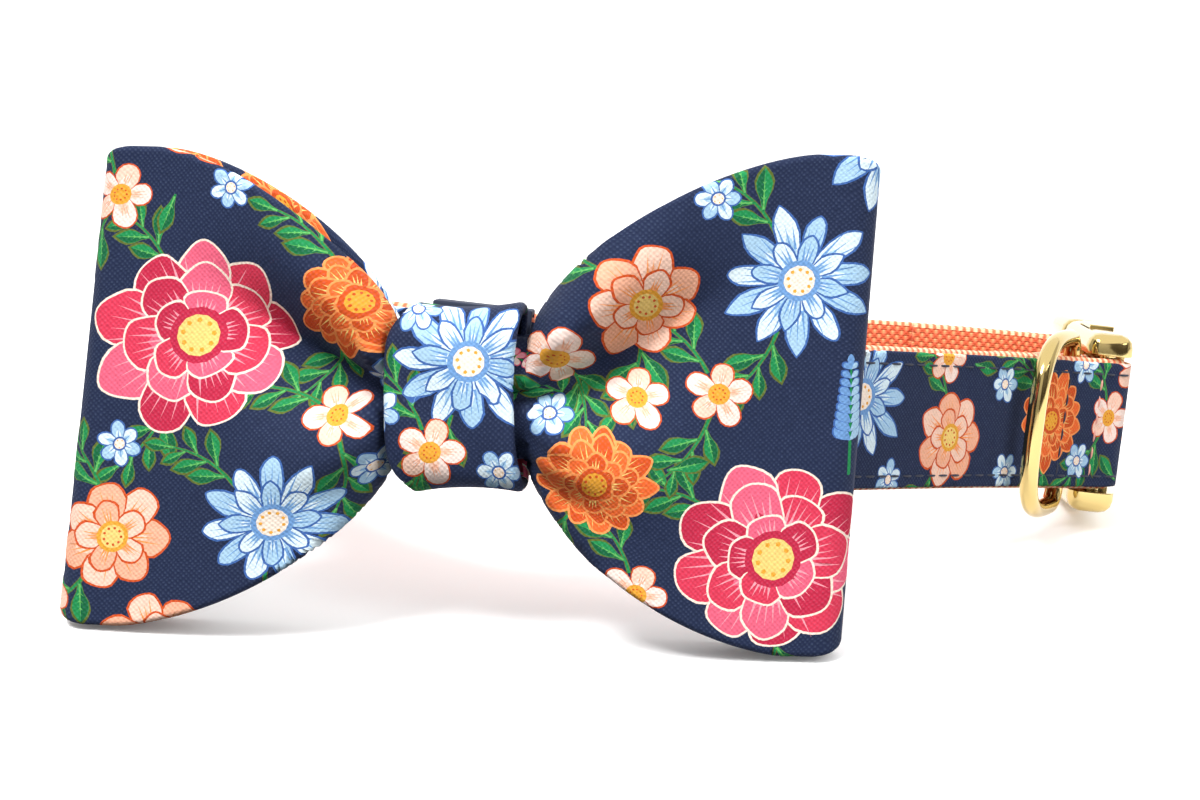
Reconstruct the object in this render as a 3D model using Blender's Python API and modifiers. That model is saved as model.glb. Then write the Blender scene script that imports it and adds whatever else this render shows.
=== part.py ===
"""Pet bow tie collar, standing on the two lower corners of its bow and on its buckle.

The collar is laid out in its own frame first: Z runs along the width of the strap, X along the
front, Y towards the back, and the knot of the bow sits at the origin. One empty then leans the
whole collar over until it touches the ground at three places. Lengths are in metres.
"""
import math

import bmesh
import bpy
import numpy as np
from mathutils import Matrix, Vector

# Gap that neighbouring pieces keep
GAP = 0.0003

# Bow: one wide band of cloth folded into a flat loop and gathered by the knot
BOW_WIDTH = 0.1205
BOW_HEIGHT = 0.0754
RIGHT_WING_STRETCH = 0.030
CLOTH_THICKNESS = 0.0020
BOW_FRONT_FULLNESS = 0.0088
BOW_BACK_FULLNESS = 0.0062
BOW_END_RADIUS = 0.0042
BOW_ROLL = math.radians(4.9)
EDGE_LEAN = math.radians(4.3)
EDGE_SPLAY = math.radians(1.5)
CORNER_DROP = 0.0014

# Knot: the narrow band that gathers the bow
KNOT_WIDTH = 0.0172
KNOT_BULGE = 0.0036
KNOT_HEIGHT = 0.0294
KNOT_DEPTH = 0.0154
KNOT_TURN = math.radians(1.6)
KNOT_SQUARENESS = 4.4
GATHER_SQUARENESS = 2.3

# Strap: webbing with a printed cover sewn on its outer face
STRAP_WIDTH = 0.0254
WEBBING_THICKNESS = 0.0016
COVER_WIDTH = 0.0242
COVER_THICKNESS = 0.0010
LOOP_WIDTH = 0.1586
LOOP_DEPTH = 0.1322
LOOP_WARP = 0.0060
FOLDED_END_LENGTH = 0.0340
COVER_END_MARGIN = 0.0100

# Plain band behind the knot that holds the bow on the strap
HOLDER_WIDTH = 0.0160
HOLDER_THICKNESS = 0.0010

# D-ring
RING_WIRE = 0.0034
RING_INNER_WIDTH = 0.0290
RING_DEPTH = 0.0230
RING_CORNER_RADIUS = 0.0036
RING_SQUARENESS = 3.6
RING_SETBACK = 0.0096
RING_REST_ANGLE = math.radians(27.0)

# Buckle
BUCKLE_WIDTH = 0.0350
BUCKLE_THICKNESS = 0.0090
BUCKLE_BAR_SPACING = 0.0460
BUCKLE_BAR_DIAMETER = 0.0034
BUCKLE_WALL = 0.0018
BUCKLE_END_ROUND = 0.0026
SOCKET_SHARE = 0.66
BUTTON_LENGTH = 0.0110
BUTTON_STANDOUT = 0.0006
GUIDE_WIDTH = 0.0050
PRONG_WIDTH = 0.0042
BUCKLE_PITCH = math.radians(1.5)
NEAR_STRAP_ANGLE = math.radians(35.0)
FAR_STRAP_ANGLE = math.radians(186.0)

# Mesh density
BOW_ROWS = 13
WING_STATIONS = 15
BOW_END_STATIONS = 4
KNOT_SIDES = 36
KNOT_COLUMNS = 6
STRAP_STATIONS = 84
FOLD_STATIONS = 10
RETURN_STATIONS = 24

# The loop of the strap seen from above, from the far bar of the buckle round the left side to
# the knot and on to the near bar. Columns: share of LOOP_WIDTH to the right of the knot, share
# of LOOP_DEPTH behind the front, share of LOOP_WARP above the plane of the front.
LOOP_ROWS = (
    (0.560, 0.980, 0.15),
    (0.385, 0.955, -0.05),
    (0.165, 0.905, -0.60),
    (-0.060, 0.805, -1.00),
    (-0.228, 0.630, -0.95),
    (-0.296, 0.410, -0.60),
    (-0.250, 0.205, -0.25),
    (-0.150, 0.062, 0.00),
    (-0.062, 0.000, 0.00),
    (0.000, 0.000, 0.00),
    (0.062, 0.000, 0.00),
    (0.190, 0.040, 0.00),
    (0.317, 0.134, 0.00),
    (0.420, 0.254, 0.00),
    (0.523, 0.388, 0.00),
    (0.620, 0.502, 0.00),
)
NEAR_BAR_ACROSS = 0.7140

# How far the turned-back ends of the webbing lie from the outer layer. Columns: share of
# FOLDED_END_LENGTH from the bar, share of the spread between touching layers and a full fold.
NEAR_RETURN_ROWS = (
    (0.00, 1.00),
    (0.07, 1.00),
    (0.17, 0.85),
    (0.28, 1.00),
    (0.42, 1.00),
    (0.70, 0.00),
    (1.00, 0.00),
)
FAR_RETURN_ROWS = (
    (0.00, 1.00),
    (0.08, 1.00),
    (0.34, 0.00),
    (1.00, 0.00),
)

# Folds that run out from the knot across the bow. Columns: side (-1 left, 1 right), layer (-1
# front, 1 back), place at the knot and place at the far end as shares of the half height,
# height as a share of the fullness, half width at the knot and at the far end as shares of the
# half height, reach as a share of the half width of the bow.
FOLD_ROWS = (
    (-1, -1, 0.08, 0.42, -0.86, 0.30, 0.22, 0.66),
    (-1, -1, -0.42, -0.16, 0.38, 0.30, 0.26, 0.70),
    (-1, -1, 0.62, 0.84, 0.26, 0.26, 0.20, 0.62),
    (-1, -1, -0.86, -0.62, -0.20, 0.18, 0.16, 0.48),
    (1, -1, 0.06, 0.50, -0.88, 0.32, 0.24, 0.70),
    (1, -1, -0.34, -0.10, 0.48, 0.24, 0.22, 0.60),
    (1, -1, 0.66, 0.86, 0.26, 0.24, 0.18, 0.60),
    (1, -1, -0.88, -0.60, -0.22, 0.18, 0.16, 0.50),
    (-1, 1, 0.00, 0.10, -0.25, 0.34, 0.26, 0.60),
    (1, 1, 0.00, 0.12, -0.25, 0.34, 0.26, 0.60),
)

# Sizes that follow from those above
WRAP_RADIUS = BUCKLE_BAR_DIAMETER / 2 + GAP + WEBBING_THICKNESS / 2
COVER_OFFSET = (WEBBING_THICKNESS + COVER_THICKNESS) / 2 + GAP
LAYER_PITCH = WEBBING_THICKNESS + GAP
KNOT_BACK = (KNOT_DEPTH / 2) * 0.78
KNOT_CENTRE = KNOT_BACK - KNOT_DEPTH / 2
HOLDER_FRONT = KNOT_BACK + GAP
STRAP_FRONT = (HOLDER_FRONT + HOLDER_THICKNESS + GAP + COVER_THICKNESS + GAP
               + WEBBING_THICKNESS / 2)
HOLDER_BACK = STRAP_FRONT + WEBBING_THICKNESS / 2 + GAP + HOLDER_THICKNESS
NEAR_BAR = Vector((
    NEAR_BAR_ACROSS * LOOP_WIDTH,
    STRAP_FRONT + LOOP_DEPTH - WRAP_RADIUS - BUCKLE_BAR_SPACING,
    0.0,
))
BUCKLE_TURN = Matrix.Rotation(BUCKLE_PITCH, 4, "X")
FAR_BAR = NEAR_BAR + BUCKLE_TURN @ Vector((0.0, BUCKLE_BAR_SPACING, 0.0))


def clear_scene():
    """Remove whatever the file opened with."""
    for item in list(bpy.data.objects):
        bpy.data.objects.remove(item)


def make_material(name, colour, roughness, metallic=0.0):
    """A Principled material of one colour."""
    material = bpy.data.materials.new(name)
    material.use_nodes = True
    shader = material.node_tree.nodes["Principled BSDF"]
    shader.inputs["Base Color"].default_value = (*colour, 1.0)
    shader.inputs["Roughness"].default_value = roughness
    shader.inputs["Metallic"].default_value = metallic
    material.diffuse_color = (*colour, 1.0)
    return material


def add_object(name, mesh, collection, material, parent):
    """Put a mesh in the collection as a named piece."""
    item = bpy.data.objects.new(name, mesh)
    item.parent = parent
    if material is not None:
        mesh.materials.append(material)
    collection.objects.link(item)
    return item


def smooth_step(value):
    """Ease from 0 to 1 with level ends."""
    value = min(1.0, max(0.0, value))
    return value * value * (3.0 - 2.0 * value)


def eased_table(rows, place):
    """Read a two-column table at a place, easing between its rows."""
    for (start, first), (end, last) in zip(rows, rows[1:]):
        if place <= end:
            return first + (last - first) * smooth_step((place - start) / (end - start))
    return rows[-1][1]


def mesh_from_rings(name, rings, closed):
    """Skin equal rings of points; rings of a closed skin meet end to end, others get caps."""
    mesh = bmesh.new()
    levels = [[mesh.verts.new(point) for point in ring] for ring in rings]
    pairs = list(zip(levels, levels[1:]))
    if closed:
        pairs.append((levels[-1], levels[0]))
    for low, high in pairs:
        for index in range(len(low)):
            after = (index + 1) % len(low)
            mesh.faces.new((low[index], low[after], high[after], high[index]))
    if not closed:
        mesh.faces.new(levels[0])
        mesh.faces.new(levels[-1])
    bmesh.ops.recalc_face_normals(mesh, faces=mesh.faces)
    data = bpy.data.meshes.new(name)
    mesh.to_mesh(data)
    mesh.free()
    return data


def band_surface(name, columns):
    """An endless band of cloth, open at both edges, through equal columns of points."""
    mesh = bmesh.new()
    levels = [[mesh.verts.new(point) for point in column] for column in columns]
    for first, second in zip(levels, levels[1:] + levels[:1]):
        for index in range(len(first) - 1):
            mesh.faces.new((first[index], second[index], second[index + 1], first[index + 1]))
    data = bpy.data.meshes.new(name)
    mesh.to_mesh(data)
    mesh.free()
    return data


def thicken(item, thickness):
    """Give an open surface its wall, half to each side."""
    wall = item.modifiers.new("wall", "SOLIDIFY")
    wall.thickness = thickness
    wall.offset = 0.0
    wall.use_even_offset = True
    item.data.shade_smooth()


# Bow


def knot_edge(side):
    """How far the knot reaches to one side at its widest."""
    return KNOT_WIDTH / 2 + (KNOT_BULGE if side < 0 else KNOT_BULGE / 10)


def bow_half_height(side, reach):
    """Half the height of the bow at a distance from its middle."""
    knot_half = KNOT_HEIGHT / 2 - 1.5 * CLOTH_THICKNESS - 7 * GAP
    start = (KNOT_WIDTH / 2 + knot_edge(side)) / 2 + 4 * GAP
    level = BOW_WIDTH / 2 - 2 * BOW_END_RADIUS
    share = min(1.0, max(0.0, (reach - start) / (level - start)))
    rise = (1.0 - (1.0 - share) ** 1.9) ** 0.75
    full_half = BOW_HEIGHT / 2 * (1.0 + (RIGHT_WING_STRETCH if side > 0 else 0.0))
    return knot_half + (full_half - knot_half) * rise


def fold_relief(side, layer, share, height_share):
    """How far the folds push one layer out of its smooth shape, as a share of the fullness."""
    relief = 0.0
    for fold_side, fold_layer, near, far, height, near_width, far_width, reach in FOLD_ROWS:
        if (fold_side, fold_layer) != (side, layer) or share > reach:
            continue
        along = share / reach
        place = near + (far - near) * along
        width = near_width + (far_width - near_width) * along
        cross = math.exp(-((height_share - place) / width) ** 2)
        relief += height * cross * (1.0 - smooth_step(along) ** 2)
    return relief


def bow_edge(side, height):
    """Where the outer edge of one wing lies at a height."""
    lean = math.tan(EDGE_LEAN) - side * math.tan(EDGE_SPLAY)
    return side * BOW_WIDTH / 2 + lean * height


def bow_point(side, layer, share, turn, height_share):
    """A point of the bow's cloth, halfway through its wall.

    share runs from the middle of the bow to the start of the rounded end, and turn from 0 to a
    right angle round that end.
    """
    straight = BOW_WIDTH / 2 - BOW_END_RADIUS
    reach = straight * share + BOW_END_RADIUS * math.sin(turn)
    drop = CORNER_DROP * (1.0 - math.cos(turn))
    height = height_share * (bow_half_height(side, reach) - drop)
    across = bow_edge(side, height) * reach / (BOW_WIDTH / 2)
    if turn > 0.0:
        return Vector((across, layer * BOW_END_RADIUS * math.cos(turn), height))
    full = BOW_FRONT_FULLNESS if layer < 0 else BOW_BACK_FULLNESS
    seat = KNOT_DEPTH / 2 + layer * KNOT_CENTRE - 1.5 * CLOTH_THICKNESS - 3 * GAP
    bound = (knot_edge(side) + CLOTH_THICKNESS / 2) / (BOW_WIDTH / 2)
    swell = seat + (full - seat) * smooth_step((share - bound) / (0.50 - bound))
    swell += (BOW_END_RADIUS - full) * smooth_step((share - 0.50) / 0.50)
    relief = fold_relief(side, layer, share, height_share)
    if relief > 0.0:
        relief *= smooth_step((share - bound) / 0.12)
    depth = swell * (1.0 + relief)
    pinch = 1.0 - smooth_step((share - bound) / (0.42 - bound))
    least = 0.7 * CLOTH_THICKNESS
    edge = (1.0 - abs(height_share) ** GATHER_SQUARENESS) ** (1.0 / GATHER_SQUARENESS)
    pinched = least + max(0.0, depth - least) * edge
    return Vector((across, layer * (depth + (pinched - depth) * pinch), height))


def bow_stations():
    """The stops round the band: side, layer, share and turn, once round without a repeat."""
    half = [(index / WING_STATIONS, 0.0) for index in range(WING_STATIONS + 1)]
    step = math.pi / 2 / BOW_END_STATIONS
    end = [(1.0, step * index) for index in range(1, BOW_END_STATIONS + 1)]
    stations = []
    for side, layer in ((1, -1), (1, 1), (-1, 1), (-1, -1)):
        quarter = half[1:] + end
        if side * layer > 0:
            quarter = (half + end[:-1])[::-1]
        stations += [(side, layer, share, turn) for share, turn in quarter]
    return stations


def build_bow(collection, material, parent):
    """The bow's band with both wings, hollow and open at its upper and lower edges."""
    shares = [2.0 * row / (BOW_ROWS - 1) - 1.0 for row in range(BOW_ROWS)]
    columns = []
    for side, layer, share, turn in bow_stations():
        columns.append([bow_point(side, layer, share, turn, place) for place in shares])
    item = add_object("bow_loop", band_surface("bow_loop", columns), collection, material, parent)
    thicken(item, CLOTH_THICKNESS)
    return item


# Knot


def knot_point(angle, across_share):
    """A point halfway through the knot's wall; angle 0 is the front."""
    half_depth = (KNOT_DEPTH - CLOTH_THICKNESS) / 2
    half_height = (KNOT_HEIGHT - CLOTH_THICKNESS) / 2
    power = 2.0 / KNOT_SQUARENESS
    cosine, sine = math.cos(angle), math.sin(angle)
    depth = -math.copysign(abs(cosine) ** power, cosine) * half_depth
    height = math.copysign(abs(sine) ** power, sine) * half_height
    front = smooth_step(cosine)
    left = -KNOT_WIDTH / 2 - KNOT_BULGE * front
    right = KNOT_WIDTH / 2 + 0.1 * KNOT_BULGE * abs(sine)
    across = left + (right - left) * across_share
    return Vector((across, KNOT_CENTRE + depth, height))


def build_knot(collection, material, parent):
    """The band round the middle of the bow."""
    columns = []
    for side in range(KNOT_SIDES):
        angle = -2.0 * math.pi * side / KNOT_SIDES
        row = [knot_point(angle, step / KNOT_COLUMNS) for step in range(KNOT_COLUMNS + 1)]
        columns.append(row)
    item = add_object("knot_band", band_surface("knot_band", columns), collection, material,
                      parent)
    item.rotation_euler[1] = -KNOT_TURN
    thicken(item, CLOTH_THICKNESS)
    return item


def build_holder(collection, material, parent):
    """The plain band round the strap, behind the knot."""
    half_height = STRAP_WIDTH / 2 + GAP
    outer = half_height + HOLDER_THICKNESS
    front, back = HOLDER_FRONT, HOLDER_BACK
    inner_front = front + HOLDER_THICKNESS
    inner_back = back - HOLDER_THICKNESS
    rings = []
    for near, far, height in ((front, back, outer), (inner_front, inner_back, half_height)):
        for across in (-HOLDER_WIDTH / 2, HOLDER_WIDTH / 2):
            corners = ((near, -height), (far, -height), (far, height), (near, height))
            ring = [Vector((across, depth, level)) for depth, level in corners]
            rings.append(ring)
    outer_left, outer_right, inner_left, inner_right = rings
    mesh = mesh_from_rings("strap_holder", (outer_left, outer_right, inner_right, inner_left),
                           closed=True)
    return add_object("strap_holder", mesh, collection, material, parent)


# Strap


def cubic_through(points, start_slope, end_slope, count):
    """Even steps along a smooth curve through points, with given end directions."""
    points = np.array(points)
    spans = np.linalg.norm(np.diff(points[:, :2], axis=0), axis=1)
    places = np.concatenate(([0.0], np.cumsum(spans)))
    size = len(points)
    matrix = np.zeros((size, size))
    target = np.zeros(points.shape)
    matrix[0, 0] = matrix[-1, -1] = 1.0
    target[0], target[-1] = start_slope, end_slope
    for index in range(1, size - 1):
        before, after = spans[index - 1], spans[index]
        matrix[index, index - 1] = after
        matrix[index, index] = 2.0 * (before + after)
        matrix[index, index + 1] = before
        rise_before = (points[index] - points[index - 1]) / before
        rise_after = (points[index + 1] - points[index]) / after
        target[index] = 3.0 * (after * rise_before + before * rise_after)
    slopes = np.linalg.solve(matrix, target)
    fine = []
    for index, span in enumerate(spans):
        for step in np.arange(0.0, 1.0, 0.02):
            square, cube = step ** 2, step ** 3
            fine.append((2 * cube - 3 * square + 1) * points[index]
                        + (cube - 2 * square + step) * span * slopes[index]
                        + (3 * square - 2 * cube) * points[index + 1]
                        + (cube - square) * span * slopes[index + 1])
    fine.append(points[-1])
    fine = np.array(fine)
    lengths = np.concatenate(([0.0], np.cumsum(np.linalg.norm(np.diff(fine, axis=0), axis=1))))
    even = np.linspace(0.0, lengths[-1], count)
    return np.stack([np.interp(even, lengths, fine[:, axis]) for axis in range(3)], axis=1)


def upright(point):
    """The direction across the strap at a point, leaning with the buckle towards the back."""
    lean = BUCKLE_PITCH * smooth_step((point.y - STRAP_FRONT) / (NEAR_BAR.y - STRAP_FRONT))
    return Vector((0.0, -math.sin(lean), math.cos(lean)))


def outward(point, way):
    """The direction out of the loop, to the right of the way along it."""
    return way.cross(upright(point)).normalized()


def main_line():
    """The middle of the outer layer of webbing, from the far bar round to the near bar."""
    turn = BUCKLE_TURN.to_3x3()
    far_way = turn @ Vector((math.cos(FAR_STRAP_ANGLE), math.sin(FAR_STRAP_ANGLE), 0.0))
    near_way = turn @ Vector((math.cos(NEAR_STRAP_ANGLE), math.sin(NEAR_STRAP_ANGLE), 0.0))
    start = FAR_BAR + outward(FAR_BAR, far_way) * WRAP_RADIUS
    end = NEAR_BAR + outward(NEAR_BAR, near_way) * WRAP_RADIUS
    middle = [
        (across * LOOP_WIDTH, STRAP_FRONT + back * LOOP_DEPTH, height * LOOP_WARP)
        for across, back, height in LOOP_ROWS
    ]
    points = [tuple(start), *middle, tuple(end)]
    return [Vector(point) for point in cubic_through(points, far_way, near_way, STRAP_STATIONS)]


def line_ways(line):
    """The direction of a line at each of its points."""
    ends = zip([line[0]] + line[:-1], line[1:] + [line[-1]])
    return [(after - before).normalized() for before, after in ends]


def line_frames(line):
    """The outward direction at each point of a line."""
    return [outward(point, way) for point, way in zip(line, line_ways(line))]


def line_sides(line):
    """The direction across the strap, towards its upper edge, at each point of a line."""
    return [out.cross(way) for out, way in zip(line_frames(line), line_ways(line))]


def fold_line(bar, out, way):
    """Half a turn of webbing round a bar, from its outer side to its inner side."""
    points = []
    for index in range(1, FOLD_STATIONS):
        angle = math.pi * index / FOLD_STATIONS
        points.append(bar + WRAP_RADIUS * (math.cos(angle) * out + math.sin(angle) * way))
    return points


def return_line(line, frames, rows):
    """The turned-back end beside a line that starts at the bar, nearest point first."""
    lengths = [0.0]
    for first, second in zip(line, line[1:]):
        lengths.append(lengths[-1] + (second - first).length)
    spread = 2 * WRAP_RADIUS - LAYER_PITCH
    points = []
    for index in range(RETURN_STATIONS + 1):
        share = index / RETURN_STATIONS
        place = share * FOLDED_END_LENGTH
        after = next(count for count, length in enumerate(lengths) if count and length >= place)
        part = (place - lengths[after - 1]) / (lengths[after] - lengths[after - 1])
        point = line[after - 1].lerp(line[after], part)
        out = frames[after - 1].lerp(frames[after], part).normalized()
        points.append(point - out * (LAYER_PITCH + spread * eased_table(rows, share)))
    return points


def webbing_line():
    """The middle of the webbing from end to end, and the index of its first outer point."""
    line = main_line()
    frames = line_frames(line)
    far_way = (line[0] - line[1]).normalized()
    near_way = (line[-1] - line[-2]).normalized()
    far_fold = fold_line(FAR_BAR, frames[0], far_way)
    near_fold = fold_line(NEAR_BAR, frames[-1], near_way)
    near_end = near_fold + return_line(line[::-1], frames[::-1], NEAR_RETURN_ROWS)
    turned = return_line(line, frames, FAR_RETURN_ROWS)[::-1] + far_fold[::-1]
    return turned + line + near_end, len(turned)


def build_ribbon(name, line, width, thickness, collection, material, parent):
    """A flat ribbon along a line."""
    rings = []
    for point, out, side in zip(line, line_frames(line), line_sides(line)):
        wall = out * (thickness / 2)
        half = side * (width / 2)
        rings.append((point + wall + half, point - wall + half,
                      point - wall - half, point + wall - half))
    mesh = mesh_from_rings(name, rings, closed=False)
    return add_object(name, mesh, collection, material, parent)


def build_strap(collection, materials, parent):
    """The webbing with both turned-back ends, and the cover on its outer face and near fold."""
    line, first = webbing_line()
    webbing = build_ribbon("webbing_strap", line, STRAP_WIDTH, WEBBING_THICKNESS, collection,
                           materials["webbing"], parent)
    last = first + STRAP_STATIONS + FOLD_STATIONS
    walked = 0.0
    while walked < COVER_END_MARGIN:
        walked += (line[first + 1] - line[first]).length
        first += 1
    outer = [point + out * COVER_OFFSET for point, out in zip(line, line_frames(line))]
    cover = build_ribbon("fabric_cover", outer[first:last], COVER_WIDTH, COVER_THICKNESS,
                         collection, materials["print"], parent)
    return webbing, cover


# Hardware


def ring_axis():
    """Where the straight side of the D-ring lies, and the way of the strap there."""
    line = main_line()
    frames = line_frames(line)
    walked = 0.0
    for index in range(len(line) - 1, 0, -1):
        step = (line[index] - line[index - 1]).length
        if walked + step >= RING_SETBACK:
            part = (RING_SETBACK - walked) / step
            point = line[index].lerp(line[index - 1], part)
            out = frames[index].lerp(frames[index - 1], part).normalized()
            return point - out * WRAP_RADIUS, out
        walked += step
    raise ValueError("the strap is shorter than the D-ring's setback")


def ring_outline():
    """The D-ring's wire line in its own plane: distance from the axis, and height."""
    half = (RING_INNER_WIDTH + RING_WIRE) / 2
    corner = RING_CORNER_RADIUS
    bend = RING_DEPTH - corner
    power = 2.0 / RING_SQUARENESS
    points = []
    for index in range(5):
        angle = math.pi / 2 * index / 4
        points.append((corner * (1.0 - math.cos(angle)), half - corner * (1 - math.sin(angle))))
    for index in range(1, 20):
        angle = math.pi / 2 - math.pi * index / 20
        sine = math.sin(angle)
        reach = corner + bend * math.cos(angle) ** power
        points.append((reach, half * math.copysign(abs(sine) ** power, sine)))
    points += [(reach, -height) for reach, height in points[4::-1]]
    return points


def build_ring(collection, material, parent):
    """The D-ring, whose straight side turns in the channel at the folded end of the strap."""
    place, out = ring_axis()
    side = upright(place)
    reach = Matrix.Rotation(RING_REST_ANGLE, 3, side) @ out.cross(side)
    axis = bpy.data.objects.new("ring_axis", None)
    columns = Matrix((reach, side.cross(reach), side)).transposed()
    axis.matrix_local = Matrix.Translation(place) @ columns.to_4x4()
    axis.parent = parent
    collection.objects.link(axis)
    curve = bpy.data.curves.new("d_ring", "CURVE")
    curve.dimensions = "3D"
    curve.bevel_depth = RING_WIRE / 2
    curve.bevel_resolution = 2
    spline = curve.splines.new("POLY")
    outline = ring_outline()
    spline.points.add(len(outline) - 1)
    for point, (reach, height) in zip(spline.points, outline):
        point.co = (reach, 0.0, height, 1.0)
    spline.use_cyclic_u = True
    curve.materials.append(material)
    item = bpy.data.objects.new("d_ring", curve)
    item.parent = axis
    collection.objects.link(item)
    return item


def box_mesh(name, low, high, bevel=0.0, segments=2):
    """A box between two corners, with its edges rounded if asked."""
    mesh = bmesh.new()
    centre = (Vector(low) + Vector(high)) / 2
    size = Vector(high) - Vector(low)
    matrix = Matrix.Translation(centre) @ Matrix.Diagonal((*size, 1.0))
    bmesh.ops.create_cube(mesh, size=1.0, matrix=matrix)
    if bevel:
        bmesh.ops.bevel(mesh, geom=mesh.edges[:], offset=bevel, segments=segments,
                        profile=0.5, affect="EDGES")
    data = bpy.data.meshes.new(name)
    mesh.to_mesh(data)
    mesh.free()
    return data


def add_cutter(name, mesh, collection, parent):
    """A helper shape that is left out of the model."""
    item = bpy.data.objects.new(name, mesh)
    item.parent = parent
    item.hide_render = True
    item.display_type = "WIRE"
    collection.objects.link(item)
    return item


def boolean(item, other, operation):
    """Cut or join with another shape."""
    modifier = item.modifiers.new(other.name, "BOOLEAN")
    modifier.operation = operation
    modifier.object = other


def bar_mesh(name):
    """The round bar across one end of the buckle, in the buckle's own frame."""
    mesh = bmesh.new()
    length = STRAP_WIDTH + 4 * BUCKLE_WALL
    bmesh.ops.create_cone(mesh, cap_ends=True, segments=16, radius1=BUCKLE_BAR_DIAMETER / 2,
                          radius2=BUCKLE_BAR_DIAMETER / 2, depth=length)
    data = bpy.data.meshes.new(name)
    mesh.to_mesh(data)
    mesh.free()
    return data


def end_gap_box(direction):
    """The opening at one end where the strap goes round the bar: low and high corners."""
    half_width = STRAP_WIDTH / 2 + 2 * GAP
    inward = (BUCKLE_BAR_DIAMETER / 2 + 2 * GAP + WEBBING_THICKNESS + COVER_THICKNESS + 3 * GAP)
    beyond = BUCKLE_THICKNESS
    near, far = sorted((-direction * beyond, direction * inward))
    return (-BUCKLE_THICKNESS, near, -half_width), (BUCKLE_THICKNESS, far, half_width)


def build_socket(collection, helpers, material, parent):
    """The half of the buckle with the two side windows, on the near bar."""
    half_width, half_thick = BUCKLE_WIDTH / 2, BUCKLE_THICKNESS / 2
    mouth = SOCKET_SHARE * BUCKLE_BAR_SPACING
    frame = bpy.data.objects.new("socket_frame", None)
    frame.matrix_local = Matrix.Translation(NEAR_BAR) @ BUCKLE_TURN
    frame.parent = parent
    collection.objects.link(frame)
    body = add_object("buckle_socket", box_mesh(
        "buckle_socket", (-half_thick, -half_thick, -half_width),
        (half_thick, mouth, half_width), BUCKLE_END_ROUND, 3), collection, material, frame)
    low, high = end_gap_box(1)
    inner = half_thick - BUCKLE_WALL
    cavity_start = high[1] + BUCKLE_WALL
    button_start = cavity_start + BUCKLE_WALL
    cuts = (
        ("socket_gap", low, high),
        ("socket_cavity", (-inner, cavity_start, BUCKLE_WALL * 1.6 - half_width),
         (inner, mouth + BUCKLE_WALL, half_width - BUCKLE_WALL * 1.6)),
        ("socket_windows", (-inner, button_start, -BUCKLE_WIDTH),
         (inner, button_start + BUTTON_LENGTH + 4 * GAP, BUCKLE_WIDTH)),
    )
    for name, corner, opposite in cuts:
        boolean(body, add_cutter(name, box_mesh(name, corner, opposite), helpers, frame),
                "DIFFERENCE")
    boolean(body, add_cutter("socket_bar", bar_mesh("socket_bar"), helpers, frame), "UNION")
    return body


def build_plug(collection, helpers, material, parent):
    """The half of the buckle with the two sprung prongs, on the far bar."""
    half_width, half_thick = BUCKLE_WIDTH / 2, BUCKLE_THICKNESS / 2
    mouth = SOCKET_SHARE * BUCKLE_BAR_SPACING
    frame = bpy.data.objects.new("plug_frame", None)
    frame.matrix_local = Matrix.Translation(NEAR_BAR) @ BUCKLE_TURN
    frame.parent = parent
    collection.objects.link(frame)
    body = add_object("buckle_plug", box_mesh(
        "buckle_plug", (-half_thick, mouth + GAP, -half_width),
        (half_thick, BUCKLE_BAR_SPACING + half_thick, half_width), BUCKLE_END_ROUND, 3),
        collection, material, frame)
    low, high = end_gap_box(-1)
    shift = BUCKLE_BAR_SPACING
    gap = box_mesh("plug_gap", (low[0], low[1] + shift, low[2]),
                   (high[0], high[1] + shift, high[2]))
    boolean(body, add_cutter("plug_gap", gap, helpers, frame), "DIFFERENCE")
    bar = add_cutter("plug_bar", bar_mesh("plug_bar"), helpers, frame)
    bar.location = (0.0, shift, 0.0)
    boolean(body, bar, "UNION")
    inner = half_thick - BUCKLE_WALL - GAP
    socket_gap_end = end_gap_box(1)[1][1]
    cavity_start = socket_gap_end + BUCKLE_WALL
    button_start = cavity_start + BUCKLE_WALL + 2 * GAP
    root = mouth + 2 * BUCKLE_WALL
    rim = half_width - BUCKLE_WALL * 1.6 - GAP
    tongue = box_mesh("plug_guide", (-inner, cavity_start + 2 * BUCKLE_WALL, -GUIDE_WIDTH / 2),
                      (inner, root, GUIDE_WIDTH / 2))
    boolean(body, add_cutter("plug_guide", tongue, helpers, frame), "UNION")
    for side in (-1, 1):
        prong_low, prong_high = sorted((side * (rim - PRONG_WIDTH), side * rim))
        prong = box_mesh(f"plug_prong_{side + 1}", (-inner, button_start, prong_low),
                         (inner, root, prong_high))
        boolean(body, add_cutter(f"plug_prong_{side + 1}", prong, helpers, frame), "UNION")
        edge = half_width + BUTTON_STANDOUT
        pad_low, pad_high = sorted((side * (rim - PRONG_WIDTH / 2), side * edge))
        pad = box_mesh(f"plug_button_{side + 1}", (-inner, button_start, pad_low),
                       (inner, button_start + BUTTON_LENGTH, pad_high))
        boolean(body, add_cutter(f"plug_button_{side + 1}", pad, helpers, frame), "UNION")
    return body


# Rest


def world_points(items):
    """The evaluated corners of some pieces, in the frame of the model."""
    bpy.context.view_layer.update()
    depsgraph = bpy.context.evaluated_depsgraph_get()
    points = []
    for item in items:
        shown = item.evaluated_get(depsgraph)
        mesh = shown.to_mesh()
        points += [shown.matrix_world @ vertex.co for vertex in mesh.vertices]
        shown.to_mesh_clear()
    return points


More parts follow.
